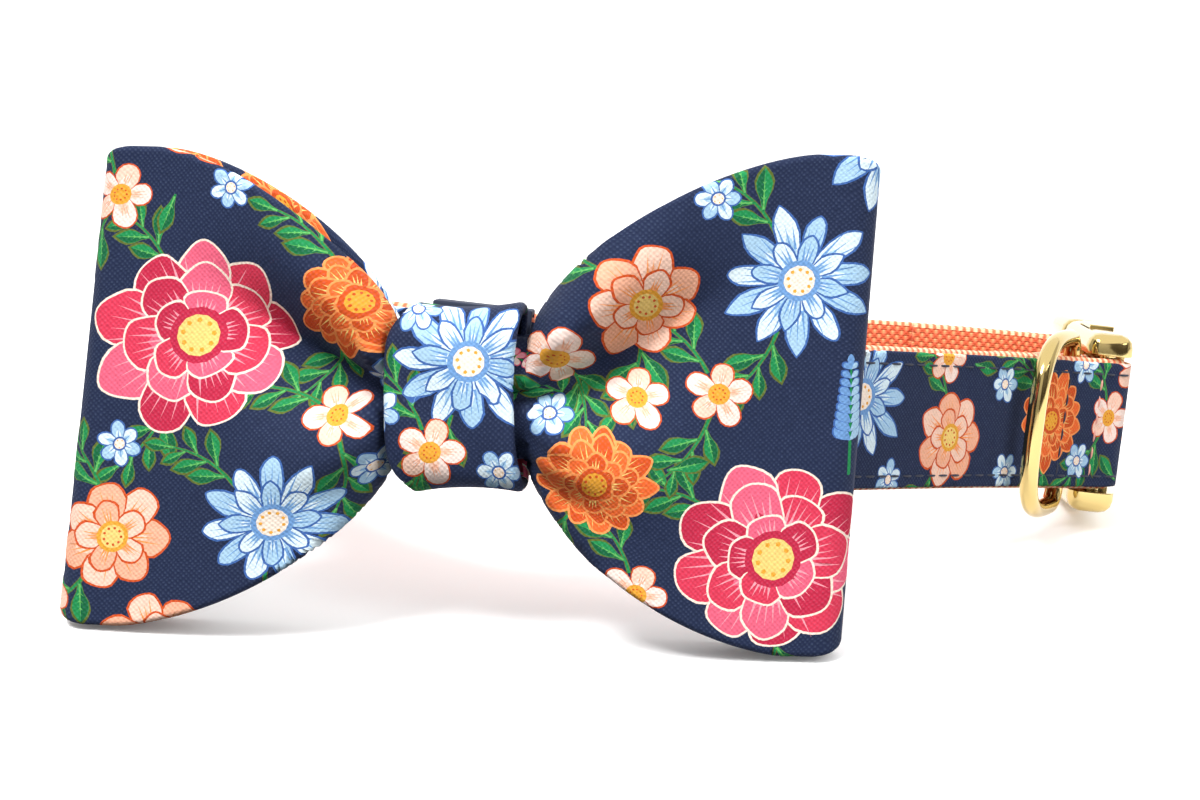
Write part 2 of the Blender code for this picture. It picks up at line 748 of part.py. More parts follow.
def rest_matrix(bow, hardware, everything):
    """Stand the collar on both lower corners of the bow and the lowest of its hardware."""
    bow_points = world_points([bow])
    feet = (
        [point for point in bow_points if point.x < 0.0],
        [point for point in bow_points if point.x > 0.0],
        world_points(hardware),
    )
    up = Vector((0.0, 0.0, 1.0))
    for _ in range(12):
        left, right, rear = (min(points, key=up.dot) for points in feet)
        up = (right - left).cross(rear - left).normalized()
    upright = up.rotation_difference(Vector((0.0, 0.0, 1.0))).to_matrix().to_4x4()
    turned = [upright @ point for point in world_points(everything)]
    low = Vector([min(point[axis] for point in turned) for axis in range(3)])
    high = Vector([max(point[axis] for point in turned) for axis in range(3)])
    centre = (low + high) / 2
    return Matrix.Translation((-centre.x, -centre.y, -low.z)) @ upright


def main():
    """Build the whole collar."""
    clear_scene()
    collection = bpy.data.collections.new("pet_bow_tie_collar")
    helpers = bpy.data.collections.new("cutters")
    for item in (collection, helpers):
        bpy.context.scene.collection.children.link(item)
    materials = {
        "print": make_material("printed_cotton", (0.030, 0.042, 0.085), 0.85),
        "webbing": make_material("coral_webbing", (0.87, 0.15, 0.055), 0.75),
        "elastic": make_material("navy_elastic", (0.020, 0.028, 0.055), 0.85),
        "gold": make_material("polished_gold_metal", (0.80, 0.58, 0.20), 0.18, 1.0),
    }
    stand = bpy.data.objects.new("rest_pose", None)
    collection.objects.link(stand)
    bow_frame = bpy.data.objects.new("bow_frame", None)
    bow_frame.rotation_euler[1] = -BOW_ROLL
    bow_frame.parent = stand
    collection.objects.link(bow_frame)

    bow = build_bow(collection, materials["print"], bow_frame)
    knot = build_knot(collection, materials["print"], bow_frame)
    holder = build_holder(collection, materials["elastic"], stand)
    webbing, cover = build_strap(collection, materials, stand)
    ring = build_ring(collection, materials["gold"], stand)
    socket = build_socket(collection, helpers, materials["gold"], stand)
    plug = build_plug(collection, helpers, materials["gold"], stand)
    pieces = (bow, knot, holder, webbing, cover, ring, socket, plug)
    stand.matrix_world = rest_matrix(bow, (socket, plug), pieces)


main()
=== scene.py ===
"""How the pet bow tie collar looks: printed cloth, webbing, stitches and polished metal.

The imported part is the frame. The cloth pieces repeat its surfaces at a finer grain, and the
floral print is drawn flat, in millimetres, and cut into them.
"""

import math

import bpy
import numpy as np
from mathutils import Matrix, Vector
from mathutils.geometry import delaunay_2d_cdt


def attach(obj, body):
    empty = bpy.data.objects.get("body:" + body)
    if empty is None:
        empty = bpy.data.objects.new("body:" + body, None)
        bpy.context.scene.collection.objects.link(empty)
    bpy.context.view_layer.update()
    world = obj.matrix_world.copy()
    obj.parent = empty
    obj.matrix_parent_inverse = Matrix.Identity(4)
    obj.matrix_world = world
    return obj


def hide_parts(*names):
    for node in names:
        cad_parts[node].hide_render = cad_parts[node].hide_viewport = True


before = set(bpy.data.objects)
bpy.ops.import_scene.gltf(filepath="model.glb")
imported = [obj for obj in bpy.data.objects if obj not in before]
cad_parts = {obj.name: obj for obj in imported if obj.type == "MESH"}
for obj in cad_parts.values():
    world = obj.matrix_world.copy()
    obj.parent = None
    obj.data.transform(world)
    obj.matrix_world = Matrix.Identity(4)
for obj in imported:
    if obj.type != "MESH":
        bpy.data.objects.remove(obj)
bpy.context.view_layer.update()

MM = 0.001

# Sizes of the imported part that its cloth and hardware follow, in metres
GAP = 0.0003
BOW_WIDTH = 0.1205
BOW_HEIGHT = 0.0754
RIGHT_WING_STRETCH = 0.030
CLOTH_THICKNESS = 0.0020
BOW_FRONT_FULLNESS = 0.0088
BOW_BACK_FULLNESS = 0.0062
BOW_END_RADIUS = 0.0042
BOW_ROLL = math.radians(4.9)
EDGE_LEAN = math.radians(4.3)
EDGE_SPLAY = math.radians(1.5)
CORNER_DROP = 0.0014
KNOT_WIDTH = 0.0172
KNOT_BULGE = 0.0036
KNOT_HEIGHT = 0.0294
KNOT_DEPTH = 0.0154
KNOT_TURN = math.radians(1.6)
KNOT_SQUARENESS = 4.4
GATHER_SQUARENESS = 2.3
STRAP_WIDTH = 0.0254
WEBBING_THICKNESS = 0.0016
COVER_WIDTH = 0.0242
COVER_THICKNESS = 0.0010
LOOP_WIDTH = 0.1586
LOOP_DEPTH = 0.1322
LOOP_WARP = 0.0060
FOLDED_END_LENGTH = 0.0340
COVER_END_MARGIN = 0.0100
HOLDER_THICKNESS = 0.0010
RING_WIRE = 0.0034
RING_INNER_WIDTH = 0.0290
RING_DEPTH = 0.0230
RING_CORNER_RADIUS = 0.0036
RING_SQUARENESS = 3.6
RING_SETBACK = 0.0096
RING_REST_ANGLE = math.radians(27.0)
BUCKLE_BAR_SPACING = 0.0460
BUCKLE_BAR_DIAMETER = 0.0034
BUCKLE_PITCH = math.radians(1.5)
NEAR_STRAP_ANGLE = math.radians(35.0)
FAR_STRAP_ANGLE = math.radians(186.0)

# The loop of the strap: across, back and height shares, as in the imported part
LOOP_ROWS = (
    (0.560, 0.980, 0.15),
    (0.385, 0.955, -0.05),
    (0.165, 0.905, -0.60),
    (-0.060, 0.805, -1.00),
    (-0.228, 0.630, -0.95),
    (-0.296, 0.410, -0.60),
    (-0.250, 0.205, -0.25),
    (-0.150, 0.062, 0.00),
    (-0.062, 0.000, 0.00),
    (0.000, 0.000, 0.00),
    (0.062, 0.000, 0.00),
    (0.190, 0.040, 0.00),
    (0.317, 0.134, 0.00),
    (0.420, 0.254, 0.00),
    (0.523, 0.388, 0.00),
    (0.620, 0.502, 0.00),
)
NEAR_BAR_ACROSS = 0.7140
NEAR_RETURN_ROWS = (
    (0.00, 1.00),
    (0.07, 1.00),
    (0.17, 0.85),
    (0.28, 1.00),
    (0.42, 1.00),
    (0.70, 0.00),
    (1.00, 0.00),
)
FAR_RETURN_ROWS = (
    (0.00, 1.00),
    (0.08, 1.00),
    (0.34, 0.00),
    (1.00, 0.00),
)

# Folds across the bow: side, layer, place at the knot and at the far end, height, half width at
# the knot and at the far end, reach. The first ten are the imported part's own folds, deepened and
# shifted to follow the photograph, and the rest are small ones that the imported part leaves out.
FOLD_ROWS = (
    (-1, -1, 0.00, 0.62, -1.06, 0.24, 0.30, 0.90),
    (-1, -1, -0.46, -0.34, 0.46, 0.28, 0.28, 0.74),
    (-1, -1, 0.50, 0.96, 0.50, 0.24, 0.18, 0.72),
    (-1, -1, -0.86, -0.62, -0.24, 0.16, 0.14, 0.50),
    (1, -1, 0.00, 0.64, -1.08, 0.25, 0.30, 0.90),
    (1, -1, -0.44, -0.26, 0.52, 0.26, 0.28, 0.74),
    (1, -1, 0.50, 0.98, 0.50, 0.24, 0.18, 0.72),
    (1, -1, -0.88, -0.60, -0.26, 0.16, 0.14, 0.52),
    (-1, 1, 0.00, 0.10, -0.70, 0.26, 0.26, 0.60),
    (1, 1, 0.00, 0.12, -0.70, 0.26, 0.26, 0.60),
    (-1, -1, 0.36, 0.56, 0.12, 0.08, 0.07, 0.46),
    (-1, -1, -0.24, 0.02, -0.18, 0.07, 0.08, 0.42),
    (1, -1, 0.34, 0.66, 0.14, 0.07, 0.07, 0.44),
    (1, -1, -0.20, 0.16, -0.20, 0.07, 0.08, 0.40),
    (1, -1, -0.64, -0.34, -0.16, 0.07, 0.08, 0.44),
)

# Sizes that follow from those above
WRAP_RADIUS = BUCKLE_BAR_DIAMETER / 2 + GAP + WEBBING_THICKNESS / 2
COVER_OFFSET = (WEBBING_THICKNESS + COVER_THICKNESS) / 2 + GAP
LAYER_PITCH = WEBBING_THICKNESS + GAP
KNOT_BACK = (KNOT_DEPTH / 2) * 0.78
KNOT_CENTRE = KNOT_BACK - KNOT_DEPTH / 2
HOLDER_FRONT = KNOT_BACK + GAP
STRAP_FRONT = (HOLDER_FRONT + HOLDER_THICKNESS + GAP + COVER_THICKNESS + GAP
               + WEBBING_THICKNESS / 2)
HOLDER_BACK = STRAP_FRONT + WEBBING_THICKNESS / 2 + GAP + HOLDER_THICKNESS
BOW_STRAIGHT = BOW_WIDTH / 2 - BOW_END_RADIUS
BOW_END_LENGTH = math.pi * BOW_END_RADIUS
BOW_LENGTH = 4 * BOW_STRAIGHT + 2 * BOW_END_LENGTH

# Camera, fitted to the photograph
CAMERA_PLACE = (0.0143, -0.4185, 0.1054)
CAMERA_YAW = math.radians(-3.34)
CAMERA_PITCH = math.radians(10.67)
CAMERA_ROLL = math.radians(1.69)
CAMERA_LENS = 69.0

# Print colours as sRGB codes
COLOURS = {
    "navy": "1F2945",
    "lining": "8A8FA0",
    "crimson": "C22A48",
    "red": "DB3B56",
    "rose": "EC6480",
    "pink": "F5A0AC",
    "cream": "FBE9D8",
    "yellow": "F6D27A",
    "mustard": "EBA537",
    "rust": "D2531F",
    "orange": "EF6B30",
    "apricot": "F99A55",
    "peach": "F6B494",
    "blush": "FBD0BA",
    "shell": "FCE3D8",
    "sky": "A9CCE6",
    "ice": "DCEDF5",
    "blue": "6F9BD0",
    "denim": "3F65A8",
    "green": "1F8A4C",
    "forest": "12623A",
    "olive": "5E6B2A",
    "lime": "62B45C",
}

# Flowers. Columns: radius in mm, rings of petals as (count, length share, width share), outline,
# petal colours, streak colour, inner colour, centre colour, dot colour, tip sharpness.
FLOWERS = {
    "camellia": (17.0, ((9, 1.00, 0.52), (7, 0.74, 0.46), (5, 0.48, 0.38)), "cream",
                 ("crimson", "red", "rose"), "pink", "crimson", "yellow", "mustard", 0.55),
    "anemone": (9.6, ((7, 1.00, 0.56), (5, 0.62, 0.40)), "rust",
                ("peach", "blush"), "apricot", "mustard", "yellow", "rust", 0.60),
    "marigold": (9.4, ((13, 1.00, 0.36), (11, 0.78, 0.32), (8, 0.54, 0.28), (5, 0.32, 0.22)),
                 "apricot", ("orange", "rust"), "yellow", "rust", "mustard", "rust", 0.60),
    "daisy": (12.0, ((11, 1.00, 0.26), (8, 0.66, 0.22)), "denim",
              ("sky", "ice"), "blue", "blue", "cream", "mustard", 0.85),
    "blossom": (5.2, ((5, 1.00, 0.66),), "rust", ("shell", "blush"), "peach", "mustard",
                "mustard", "rust", 0.50),
    "bluet": (3.6, ((6, 1.00, 0.56),), "denim", ("sky", "ice"), "blue", "denim", "cream",
              "mustard", 0.55),
}

# Placed motifs on the front of the bow: kind, across in mm, up in mm, turn in degrees
BOW_MOTIFS = (
    ("camellia", -42.0, 9.0, 10),
    ("daisy", -28.0, -21.0, 25),
    ("anemone", -53.0, -24.0, 0),
    ("marigold", -17.0, 17.0, 15),
    ("blossom", -19.0, -4.0, 40),
    ("blossom", -57.0, 31.0, 0),
    ("bluet", -14.0, -13.0, 0),
    ("bluet", -38.0, 33.0, 20),
    ("marigold", 21.0, -13.0, 0),
    ("anemone", 27.0, 17.0, 30),
    ("daisy", 50.0, 20.0, 10),
    ("camellia", 49.0, -24.0, 35),
    ("blossom", 39.0, 2.0, 10),
    ("blossom", 14.0, 9.0, 60),
    ("bluet", 37.0, 33.0, 0),
    ("bluet", 13.5, -3.0, 0),
    ("blossom", 28.0, -31.0, 0),
)
# The same on the knot, from the middle of its front
KNOT_MOTIFS = (
    ("daisy", 1.0, 6.0, 12),
    ("blossom", -5.0, -8.0, 0),
    ("bluet", 5.5, -11.0, 0),
    ("bluet", -7.0, 14.0, 0),
)
# The same on the strap, with mm before the end of its cover in place of mm across
COVER_MOTIFS = (
    ("marigold", 29.0, 0.5, 20),
    ("blossom", 12.0, 1.5, 0),
    ("bluet", 19.5, -7.0, 0),
    ("anemone", 58.0, -3.0, 0),
    ("daisy", 84.0, 4.0, 0),
    ("bluet", 44.0, 7.0, 0),
)
BOW_SEED = 11
KNOT_SEED = 5
COVER_SEED = 23

# Cloth turned in at the edges of the bow, stitches and weave, in metres
BOW_TURN_IN = 0.0070
STITCH_RADIUS = 0.00022
STITCH_SIDES = 6
STITCH_PITCH = 0.0035
STITCH_LENGTH = 0.0026
CROSS_STITCH_PITCH = 0.0033
SEAM_INSET = 0.0022
COTTON_PITCH = 0.00084
LATTICE_PITCH = 0.0038
RIB_PITCH = 0.00048
SELVEDGE_PITCH = 0.0016
SELVEDGE_WIDTH = 0.00080
RING_SIDES = 20
WEBBING_STATIONS = 620
# Seams across the cover: distance from the bar, length of a stitch
CHANNEL_SEAM = (0.0156, 0.0025)
END_SEAM = (0.0058, 0.0024)

# Studio, in metres and watts. Lights: name, place, target, size, power
WHITE = (1.0, 1.0, 1.0, 1.0)
LIGHTS = (
    ("key", (-0.42, -0.72, 1.05), (0.0, 0.0, 0.04), 0.35, 15.0),
    ("fill", (0.75, -0.70, 0.55), (0.05, 0.0, 0.04), 0.5, 5.5),
    ("top", (0.0, 0.2, 2.2), (0.0, 0.2, 0.0), 5.0, 50.0),
)
FLOOR_REACH = 6.0
SWEEP_BACK = 2.0
SWEEP_HEIGHT = 1.6
# Dark boards that only the metal mirrors: name, left, front, right, back
BOARDS = (
    ("left_board", -1.05, -0.30, -0.32, -1.00),
    ("right_board", 0.30, -1.00, 1.05, -0.30),
)
BOARD_HEIGHT = 0.9


def linear(code):
    """The linear colour of a six-digit sRGB code."""
    parts = [int(code[place:place + 2], 16) / 255 for place in (0, 2, 4)]
    return tuple(c / 12.92 if c <= 0.04045 else ((c + 0.055) / 1.055) ** 2.4 for c in parts)


LINEAR = {name: linear(code) for name, code in COLOURS.items()}


def smooth_step(value):
    """Ease from 0 to 1 with level ends."""
    value = np.clip(value, 0.0, 1.0)
    return value * value * (3.0 - 2.0 * value)


# Where the collar stands


def stand_matrix():
    """The place of the collar's own frame, read from the strap holder, a box in that frame."""
    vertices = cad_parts["strap_holder"].data.vertices
    points = np.unique(np.round(np.array([v.co for v in vertices]), 7), axis=0)
    centre = points.mean(axis=0)
    vectors = np.linalg.eigh(np.cov((points - centre).T))[1]
    depth, across, height = vectors[:, 0], vectors[:, 1], vectors[:, 2]
    columns = [axis * np.sign(axis[index])
               for index, axis in ((0, across), (1, depth), (2, height))]
    turn = Matrix(np.stack(columns, axis=1).tolist())
    middle = Vector((0.0, (HOLDER_FRONT + HOLDER_BACK) / 2, 0.0))
    return Matrix.Translation(Vector(centre) - turn @ middle) @ turn.to_4x4()


STAND = stand_matrix()
BOW_FRAME = STAND @ Matrix.Rotation(-BOW_ROLL, 4, "Y")
KNOT_FRAME = BOW_FRAME @ Matrix.Rotation(-KNOT_TURN, 4, "Y")


def move(points, matrix):
    """Points in the row frame."""
    matrix = np.array(matrix)
    return points @ matrix[:3, :3].T + matrix[:3, 3]


def turn_only(vectors, matrix):
    """Directions in the row frame."""
    return vectors @ np.array(matrix)[:3, :3].T


def unit(vectors):
    """Rows scaled to length 1."""
    return vectors / np.linalg.norm(vectors, axis=1)[:, None]


# Drawing the print, flat, in millimetres


class Print:
    """Coloured outlines in painter's order."""

    def __init__(self, seed):
        self.shapes = []
        self.chance = np.random.default_rng(seed)

    def add(self, points, colour, centre=(0.0, 0.0), turn=0.0):
        """Lay one outline over those before it."""
        points = np.asarray(points, float)
        cosine, sine = math.cos(turn), math.sin(turn)
        turned = points @ np.array(((cosine, sine), (-sine, cosine))) + np.asarray(centre)
        after = np.roll(turned, -1, axis=0)
        area = np.sum(turned[:, 0] * after[:, 1] - after[:, 0] * turned[:, 1])
        if abs(area) > 1e-4:
            self.shapes.append((turned if area > 0 else turned[::-1], colour))


def petal_outline(length, width, sharpness, steps=6, ruffle=0.0, phase=0.0):
    """A petal from the origin along X: narrow at its base, widest past its middle."""
    along = np.sin(np.linspace(0.0, math.pi / 2, steps + 1)) ** 0.9
    half = width / 2 * np.sin(math.pi * np.clip(along, 0.0, 0.9999) ** 1.45) ** sharpness
    half[0] = width * 0.06
    wave = 1.0 + ruffle * np.sin(along * 13.0 + phase) * along
    other = 1.0 + ruffle * np.sin(along * 11.0 + 2.1 * phase) * along
    dent = 1.0 - 1.2 * ruffle * np.cos(along[-1] * 5.0 + phase) ** 2
    reach = along * length * (1.0 - (1.0 - dent) * along ** 6)
    upper = np.stack((reach, half * wave), axis=1)
    lower = np.stack((reach, -half * other), axis=1)
    return np.concatenate((upper, lower[::-1][1:]))


def disc(radius, sides):
    """A round spot."""
    angles = np.linspace(0.0, 2 * math.pi, sides, endpoint=False)
    return np.stack((np.cos(angles) * radius, np.sin(angles) * radius), axis=1)


def draw_flower(art, kind, centre, turn):
    """A flower of one kind, seen from above."""
    radius, rings, outline, bodies, streak, inner, middle, dots, sharpness = FLOWERS[kind]
    centre = np.asarray(centre, float)
    rim = 0.34 if radius > 8 else 0.24
    steps = 11 if radius > 12 else (8 if radius > 6 else 6)
    for level, (count, length_share, width_share) in enumerate(rings):
        for index in range(count):
            angle = turn + 2 * math.pi * (index + 0.5 * level) / count
            length = radius * length_share * art.chance.uniform(0.90, 1.06)
            width = radius * width_share * art.chance.uniform(0.92, 1.08)
            phase = art.chance.uniform(0.0, 6.0)
            ruffle = 0.10 if radius > 8 else 0.05
            edge = petal_outline(length + rim, width + 2 * rim, sharpness, steps, ruffle, phase)
            art.add(edge, outline, centre, angle)
            body = bodies[(index + level) % len(bodies)]
            petal = petal_outline(length, width, sharpness, steps, ruffle, phase)
            art.add(petal, body, centre, angle)
            shade = petal_outline(length * 0.62, width * 0.44, 0.9, 5)
            art.add(shade, bodies[(index + level + 1) % len(bodies)], centre, angle)
            streaks = 5 if radius > 12 else (3 if radius > 5 else 1)
            for line in range(streaks):
                lean = (line - (streaks - 1) / 2) * 0.13
                start = length * (0.30 + 0.10 * abs(line - (streaks - 1) / 2))
                end = length * art.chance.uniform(0.72, 0.90)
                thin = radius * 0.012 + 0.08
                stroke = ((start, -thin), (end, 0.0), (start, thin))
                art.add(stroke, streak, centre, angle + lean)
    heart = radius * (0.20 if len(rings) > 1 else 0.24)
    art.add(disc(heart * 1.35, 14), inner, centre, turn)
    art.add(disc(heart, 12), middle, centre, turn)
    dot_count = 9 if radius > 5 else 5
    for index in range(dot_count):
        angle = turn + 2 * math.pi * index / dot_count
        spot = centre + heart * 0.72 * np.array((math.cos(angle), math.sin(angle)))
        art.add(disc(heart * 0.13, 5), dots, spot)


def draw_leaf(art, base, angle, length, width):
    """A leaf with a darker rim, a lighter half and a pale vein."""
    art.add(petal_outline(length + 0.5, width + 0.6, 1.15, 7), "olive", base, angle)
    art.add(petal_outline(length, width, 1.15, 7), "green", base, angle)
    along = np.linspace(0.0, 1.0, 7)
    half = width / 2 * np.sin(math.pi * along ** 1.45) ** 1.15
    side = np.concatenate((np.stack((along * length, half * 0.92), axis=1),
                           np.array(((length * 0.5, 0.05),))))
    art.add(side, "forest", base, angle)
    art.add(((length * 0.06, -0.16), (length * 0.92, 0.0), (length * 0.06, 0.16)), "lime", base,
            angle)
    for share in (0.28, 0.46, 0.64):
        root = np.asarray(base) + length * share * np.array((math.cos(angle), math.sin(angle)))
        for side in (-1, 1):
            reach = width * 0.36 * (1.15 - share)
            stroke = ((0.0, -0.10), (reach, 0.0), (0.0, 0.10))
            art.add(stroke, "lime", root, angle + side * 0.75)


def draw_stem(art, points, width, colour="green"):
    """A tapering line through points."""
    points = np.asarray(points, float)
    ways = unit(np.gradient(points, axis=0))
    across = np.stack((-ways[:, 1], ways[:, 0]), axis=1)
    half = np.linspace(width, width * 0.55, len(points))[:, None] / 2
    outline = np.concatenate((points + across * half, (points - across * half)[::-1]))
    art.add(outline, colour)


def bent_line(base, angle, length, bend, count=7):
    """Points of a gently bent stem and the direction at each."""
    share = np.linspace(0.0, 1.0, count)
    turns = angle + bend * share
    steps = np.stack((np.cos(turns), np.sin(turns)), axis=1) * length / (count - 1)
    points = np.asarray(base) + np.concatenate((np.zeros((1, 2)), np.cumsum(steps[:-1], axis=0)))
    return points, turns


def draw_sprig(art, base, angle, length, bend, leaf):
    """A bent stem with leaves by turns on either side and one at its tip."""
    points, turns = bent_line(base, angle, length, bend)
    draw_stem(art, points, 0.75, "olive")
    draw_stem(art, points, 0.45)
    for index in range(1, len(points) - 1):
        side = 1 if index % 2 else -1
        share = index / (len(points) - 1)
        size = leaf * (1.15 - 0.45 * share) * art.chance.uniform(0.85, 1.1)
        draw_leaf(art, points[index], turns[index] + side * 0.72, size, size * 0.36)
    draw_leaf(art, points[-1], turns[-1], leaf * 0.8, leaf * 0.28)


def draw_spike(art, base, angle, length, bend, colours):
    """A flower spike: small paired buds that get shorter towards the tip."""
    points, turns = bent_line(base, angle, length, bend, 13)
    draw_stem(art, points, 0.6)
    dark, light, pale = colours
    for index in range(4, len(points)):
        share = (index - 4) / (len(points) - 5)
        size = 3.1 * (1.0 - 0.55 * share)
        for side in (-1, 1):
            way = turns[index] + side * 0.85
            art.add(petal_outline(size + 0.25, size * 0.62 + 0.3, 0.7, 5), dark, points[index], way)
            art.add(petal_outline(size, size * 0.62, 0.7, 5), light if side > 0 else pale,
                    points[index], way)
    tip = petal_outline(2.4, 1.1, 0.7, 5)
    art.add(tip, light, points[-1], turns[-1])


def scatter(art, low, high, taken):
    """Fill the ground between placed motifs with flowers, spikes, sprigs and small blossoms."""
    low, high = np.asarray(low, float), np.asarray(high, float)
    taken = list(taken)
    plan = (
        ("camellia", 17.5, 0.00012),
        ("daisy", 12.0, 0.00030),
        ("marigold", 9.6, 0.00040),
        ("anemone", 9.8, 0.00040),
        ("spike", 8.0, 0.00120),
        ("sprig", 7.0, 0.00160),
        ("blossom", 5.4, 0.00110),
        ("bluet", 4.2, 0.00110),
        ("leaf", 3.6, 0.00160),
    )
    area = float(np.prod(high - low))
    queue = []
    for kind, radius, density in plan:
        for _ in range(int(area * density * 14)):
            spot = art.chance.uniform(low, high)
            clear = all(math.hypot(spot[0] - x, spot[1] - y) > (radius + other) * 0.98
                        for x, y, other in taken)
            if clear and sum(1 for item in queue if item[0] == kind) < max(1, area * density):
                taken.append((spot[0], spot[1], radius))
                queue.append((kind, spot, art.chance.uniform(0.0, 2 * math.pi)))
    return queue


def draw_queue(art, queue):
    """Draw greenery first and flowers over it."""
    for kind, spot, turn in queue:
        way = np.array((math.cos(turn), math.sin(turn)))
        if kind == "spike":
            colours = (("denim", "blue", "sky"), ("rose", "pink", "shell"))[int(turn * 10) % 2]
            draw_spike(art, spot - way * 9.0, turn, 17.0, art.chance.uniform(-0.6, 0.6), colours)
        elif kind == "sprig":
            draw_sprig(art, spot - way * 7.5, turn, 14.0, art.chance.uniform(-0.9, 0.9), 6.2)
        elif kind == "leaf":
            draw_leaf(art, spot - way * 3.0, turn, 6.4, 2.4)
    for kind, spot, turn in queue:
        if kind in FLOWERS:
            draw_flower(art, kind, spot, turn)


def flower_bed(seed, low, high, motifs):
    """The print of one piece of cloth."""
    art = Print(seed)
    placed = [(kind, np.array((across, up)), math.radians(turn))
              for kind, across, up, turn in motifs]
    taken = [(spot[0], spot[1], FLOWERS[kind][0]) for kind, spot, turn in placed]
    for kind, spot, turn in placed:
        if FLOWERS[kind][0] < 4.5:
            continue
        for index in range(2):
            way = turn + 1.9 + index * 2.3
            reach = FLOWERS[kind][0] * 0.7
            base = spot + reach * np.array((math.cos(way), math.sin(way)))
            draw_sprig(art, base, way, 12.0, 0.7 - 1.3 * index, 6.4)
    queue = scatter(art, low, high, taken)
    draw_queue(art, queue)
    for kind, spot, turn in placed:
        draw_flower(art, kind, spot, turn)
    return art.shapes


# Cutting the print into cloth


def inside(outline, spots):
    """Which spots lie inside an outline."""
    after = np.roll(outline, -1, axis=0)
    crossings = np.zeros(len(spots), int)
    for (x, y), (next_x, next_y) in zip(outline, after):
        if y == next_y:
            continue
        between = (spots[:, 1] < y) != (spots[:, 1] < next_y)
        crossings += between & (spots[:, 0] < x + (spots[:, 1] - y) / (next_y - y) * (next_x - x))
    return crossings % 2 == 1


def triangulate(corners, edges, border):
    """Triangles inside a border that keep the given edges."""
    cut = delaunay_2d_cdt([Vector(corner) for corner in corners], edges, [], 0, 1e-4, False)
    flat = np.array([tuple(point) for point in cut[0]])
    triangles = np.array([tuple(triangle) for triangle in cut[2]])
    keep = inside(border, flat[triangles].mean(axis=1))
    return flat, triangles[keep]


def paint_numbers(shapes, flat, triangles):
    """The number of the topmost shape over each triangle, 0 for the ground."""
    centres = flat[triangles].mean(axis=1)
    order = np.argsort(centres[:, 0])
    sorted_across = centres[order, 0]
    paint = np.zeros(len(triangles), int)
    for number, (outline, _) in enumerate(shapes):
        first, last = np.searchsorted(sorted_across, (outline[:, 0].min(), outline[:, 0].max()))
        near = order[first:last]
        near = near[(centres[near, 1] > outline[:, 1].min())
                    & (centres[near, 1] < outline[:, 1].max())]
        paint[near[inside(outline, centres[near])]] = number + 1
    return paint


def colour_edges(triangles, tones):
    """The edges where the colour changes."""
    edges = np.concatenate((triangles[:, (0, 1)], triangles[:, (1, 2)], triangles[:, (2, 0)]))
    tones = np.tile(tones, 3)
    edges.sort(axis=1)
    order = np.lexsort((edges[:, 1], edges[:, 0]))
    edges, tones = edges[order], tones[order]
    paired = np.all(edges[1:] == edges[:-1], axis=1)
    differs = paired & (tones[1:] != tones[:-1])
    return edges[1:][differs]


def cut_cloth(shapes, border, points):
    """Triangles of a flat printed piece: corners in mm, triangles, and a colour name for each.

    The outlines are cut once to find where the colours change, and those edges alone are cut
    into the final cloth.
    """
    border = np.asarray(border)
    low, high = border.min(axis=0), border.max(axis=0)
    shapes = [(outline, colour) for outline, colour in shapes
              if np.all(outline.max(axis=0) > low) and np.all(outline.min(axis=0) < high)]
    names = ["navy"] + [colour for _, colour in shapes]
    codes = {name: code for code, name in enumerate(sorted(set(names)))}
    tone_of = np.array([codes[name] for name in names])
    corners, edges = [], []
    for outline in [border] + [shape[0] for shape in shapes]:
        start, count = len(corners), len(outline)
        corners += [tuple(corner) for corner in outline]
        edges += [(start + index, start + (index + 1) % count) for index in range(count)]
    flat, triangles = triangulate(corners, edges, border)
    tones = tone_of[paint_numbers(shapes, flat, triangles)]
    kept = colour_edges(triangles, tones)
    used, kept = np.unique(kept, return_inverse=True)
    kept = kept.reshape(-1, 2)
    count = len(border)
    corners = [tuple(corner) for corner in border] + [tuple(flat[index]) for index in used]
    edges = [(index, (index + 1) % count) for index in range(count)]
    edges += [(int(first) + count, int(second) + count) for first, second in kept]
    corners += [tuple(point) for point in points]
    flat, triangles = triangulate(corners, edges, border)
    paint = paint_numbers(shapes, flat, triangles)
    return flat, [tuple(triangle) for triangle in triangles], [names[number] for number in paint]


def cloth_mesh(name, flat, triangles, colours, points, normals, lining=None):
    """A mesh with the print in a colour attribute, flat coordinates in a UV map, and normals."""
    used = np.unique(np.array(triangles))
    place = -np.ones(len(flat), int)
    place[used] = np.arange(len(used))
    faces = [tuple(place[corner] for corner in triangle) for triangle in triangles]
    points, normals, flat = points[used], normals[used], flat[used]
    tones = [LINEAR[colour] for colour in colours]
    if lining is not None:
        more_points, more_faces, more_normals, more_flat = lining
        start = len(points)
        faces += [tuple(corner + start for corner in face) for face in more_faces]
        points = np.concatenate((points, more_points))
        normals = np.concatenate((normals, more_normals))
        flat = np.concatenate((flat, more_flat))
        tones += [LINEAR["lining"]] * len(more_faces)
    mesh = bpy.data.meshes.new(name)
    mesh.from_pydata([tuple(point) for point in points], [], faces)
    mesh.update()
    corners = np.zeros(len(mesh.loops), int)
    mesh.loops.foreach_get("vertex_index", corners)
    uv = mesh.uv_layers.new(name="cloth")
    uv.data.foreach_set("uv", (flat[corners] * MM).ravel())
    attribute = mesh.color_attributes.new("print", "FLOAT_COLOR", "CORNER")
    sizes = [len(face) for face in faces]
    paint = np.repeat(np.array([(*tone, 1.0) for tone in tones]), sizes, axis=0)
    attribute.data.foreach_set("color", paint.ravel())
    mesh.shade_smooth()
    mesh.normals_split_custom_set_from_vertices([tuple(normal) for normal in normals])
    return mesh


def solid_mesh(name, points, faces):
    """A smooth mesh from points and faces."""
    mesh = bpy.data.meshes.new(name)
    mesh.from_pydata([tuple(point) for point in points], [], faces)
    mesh.shade_smooth()
    return mesh


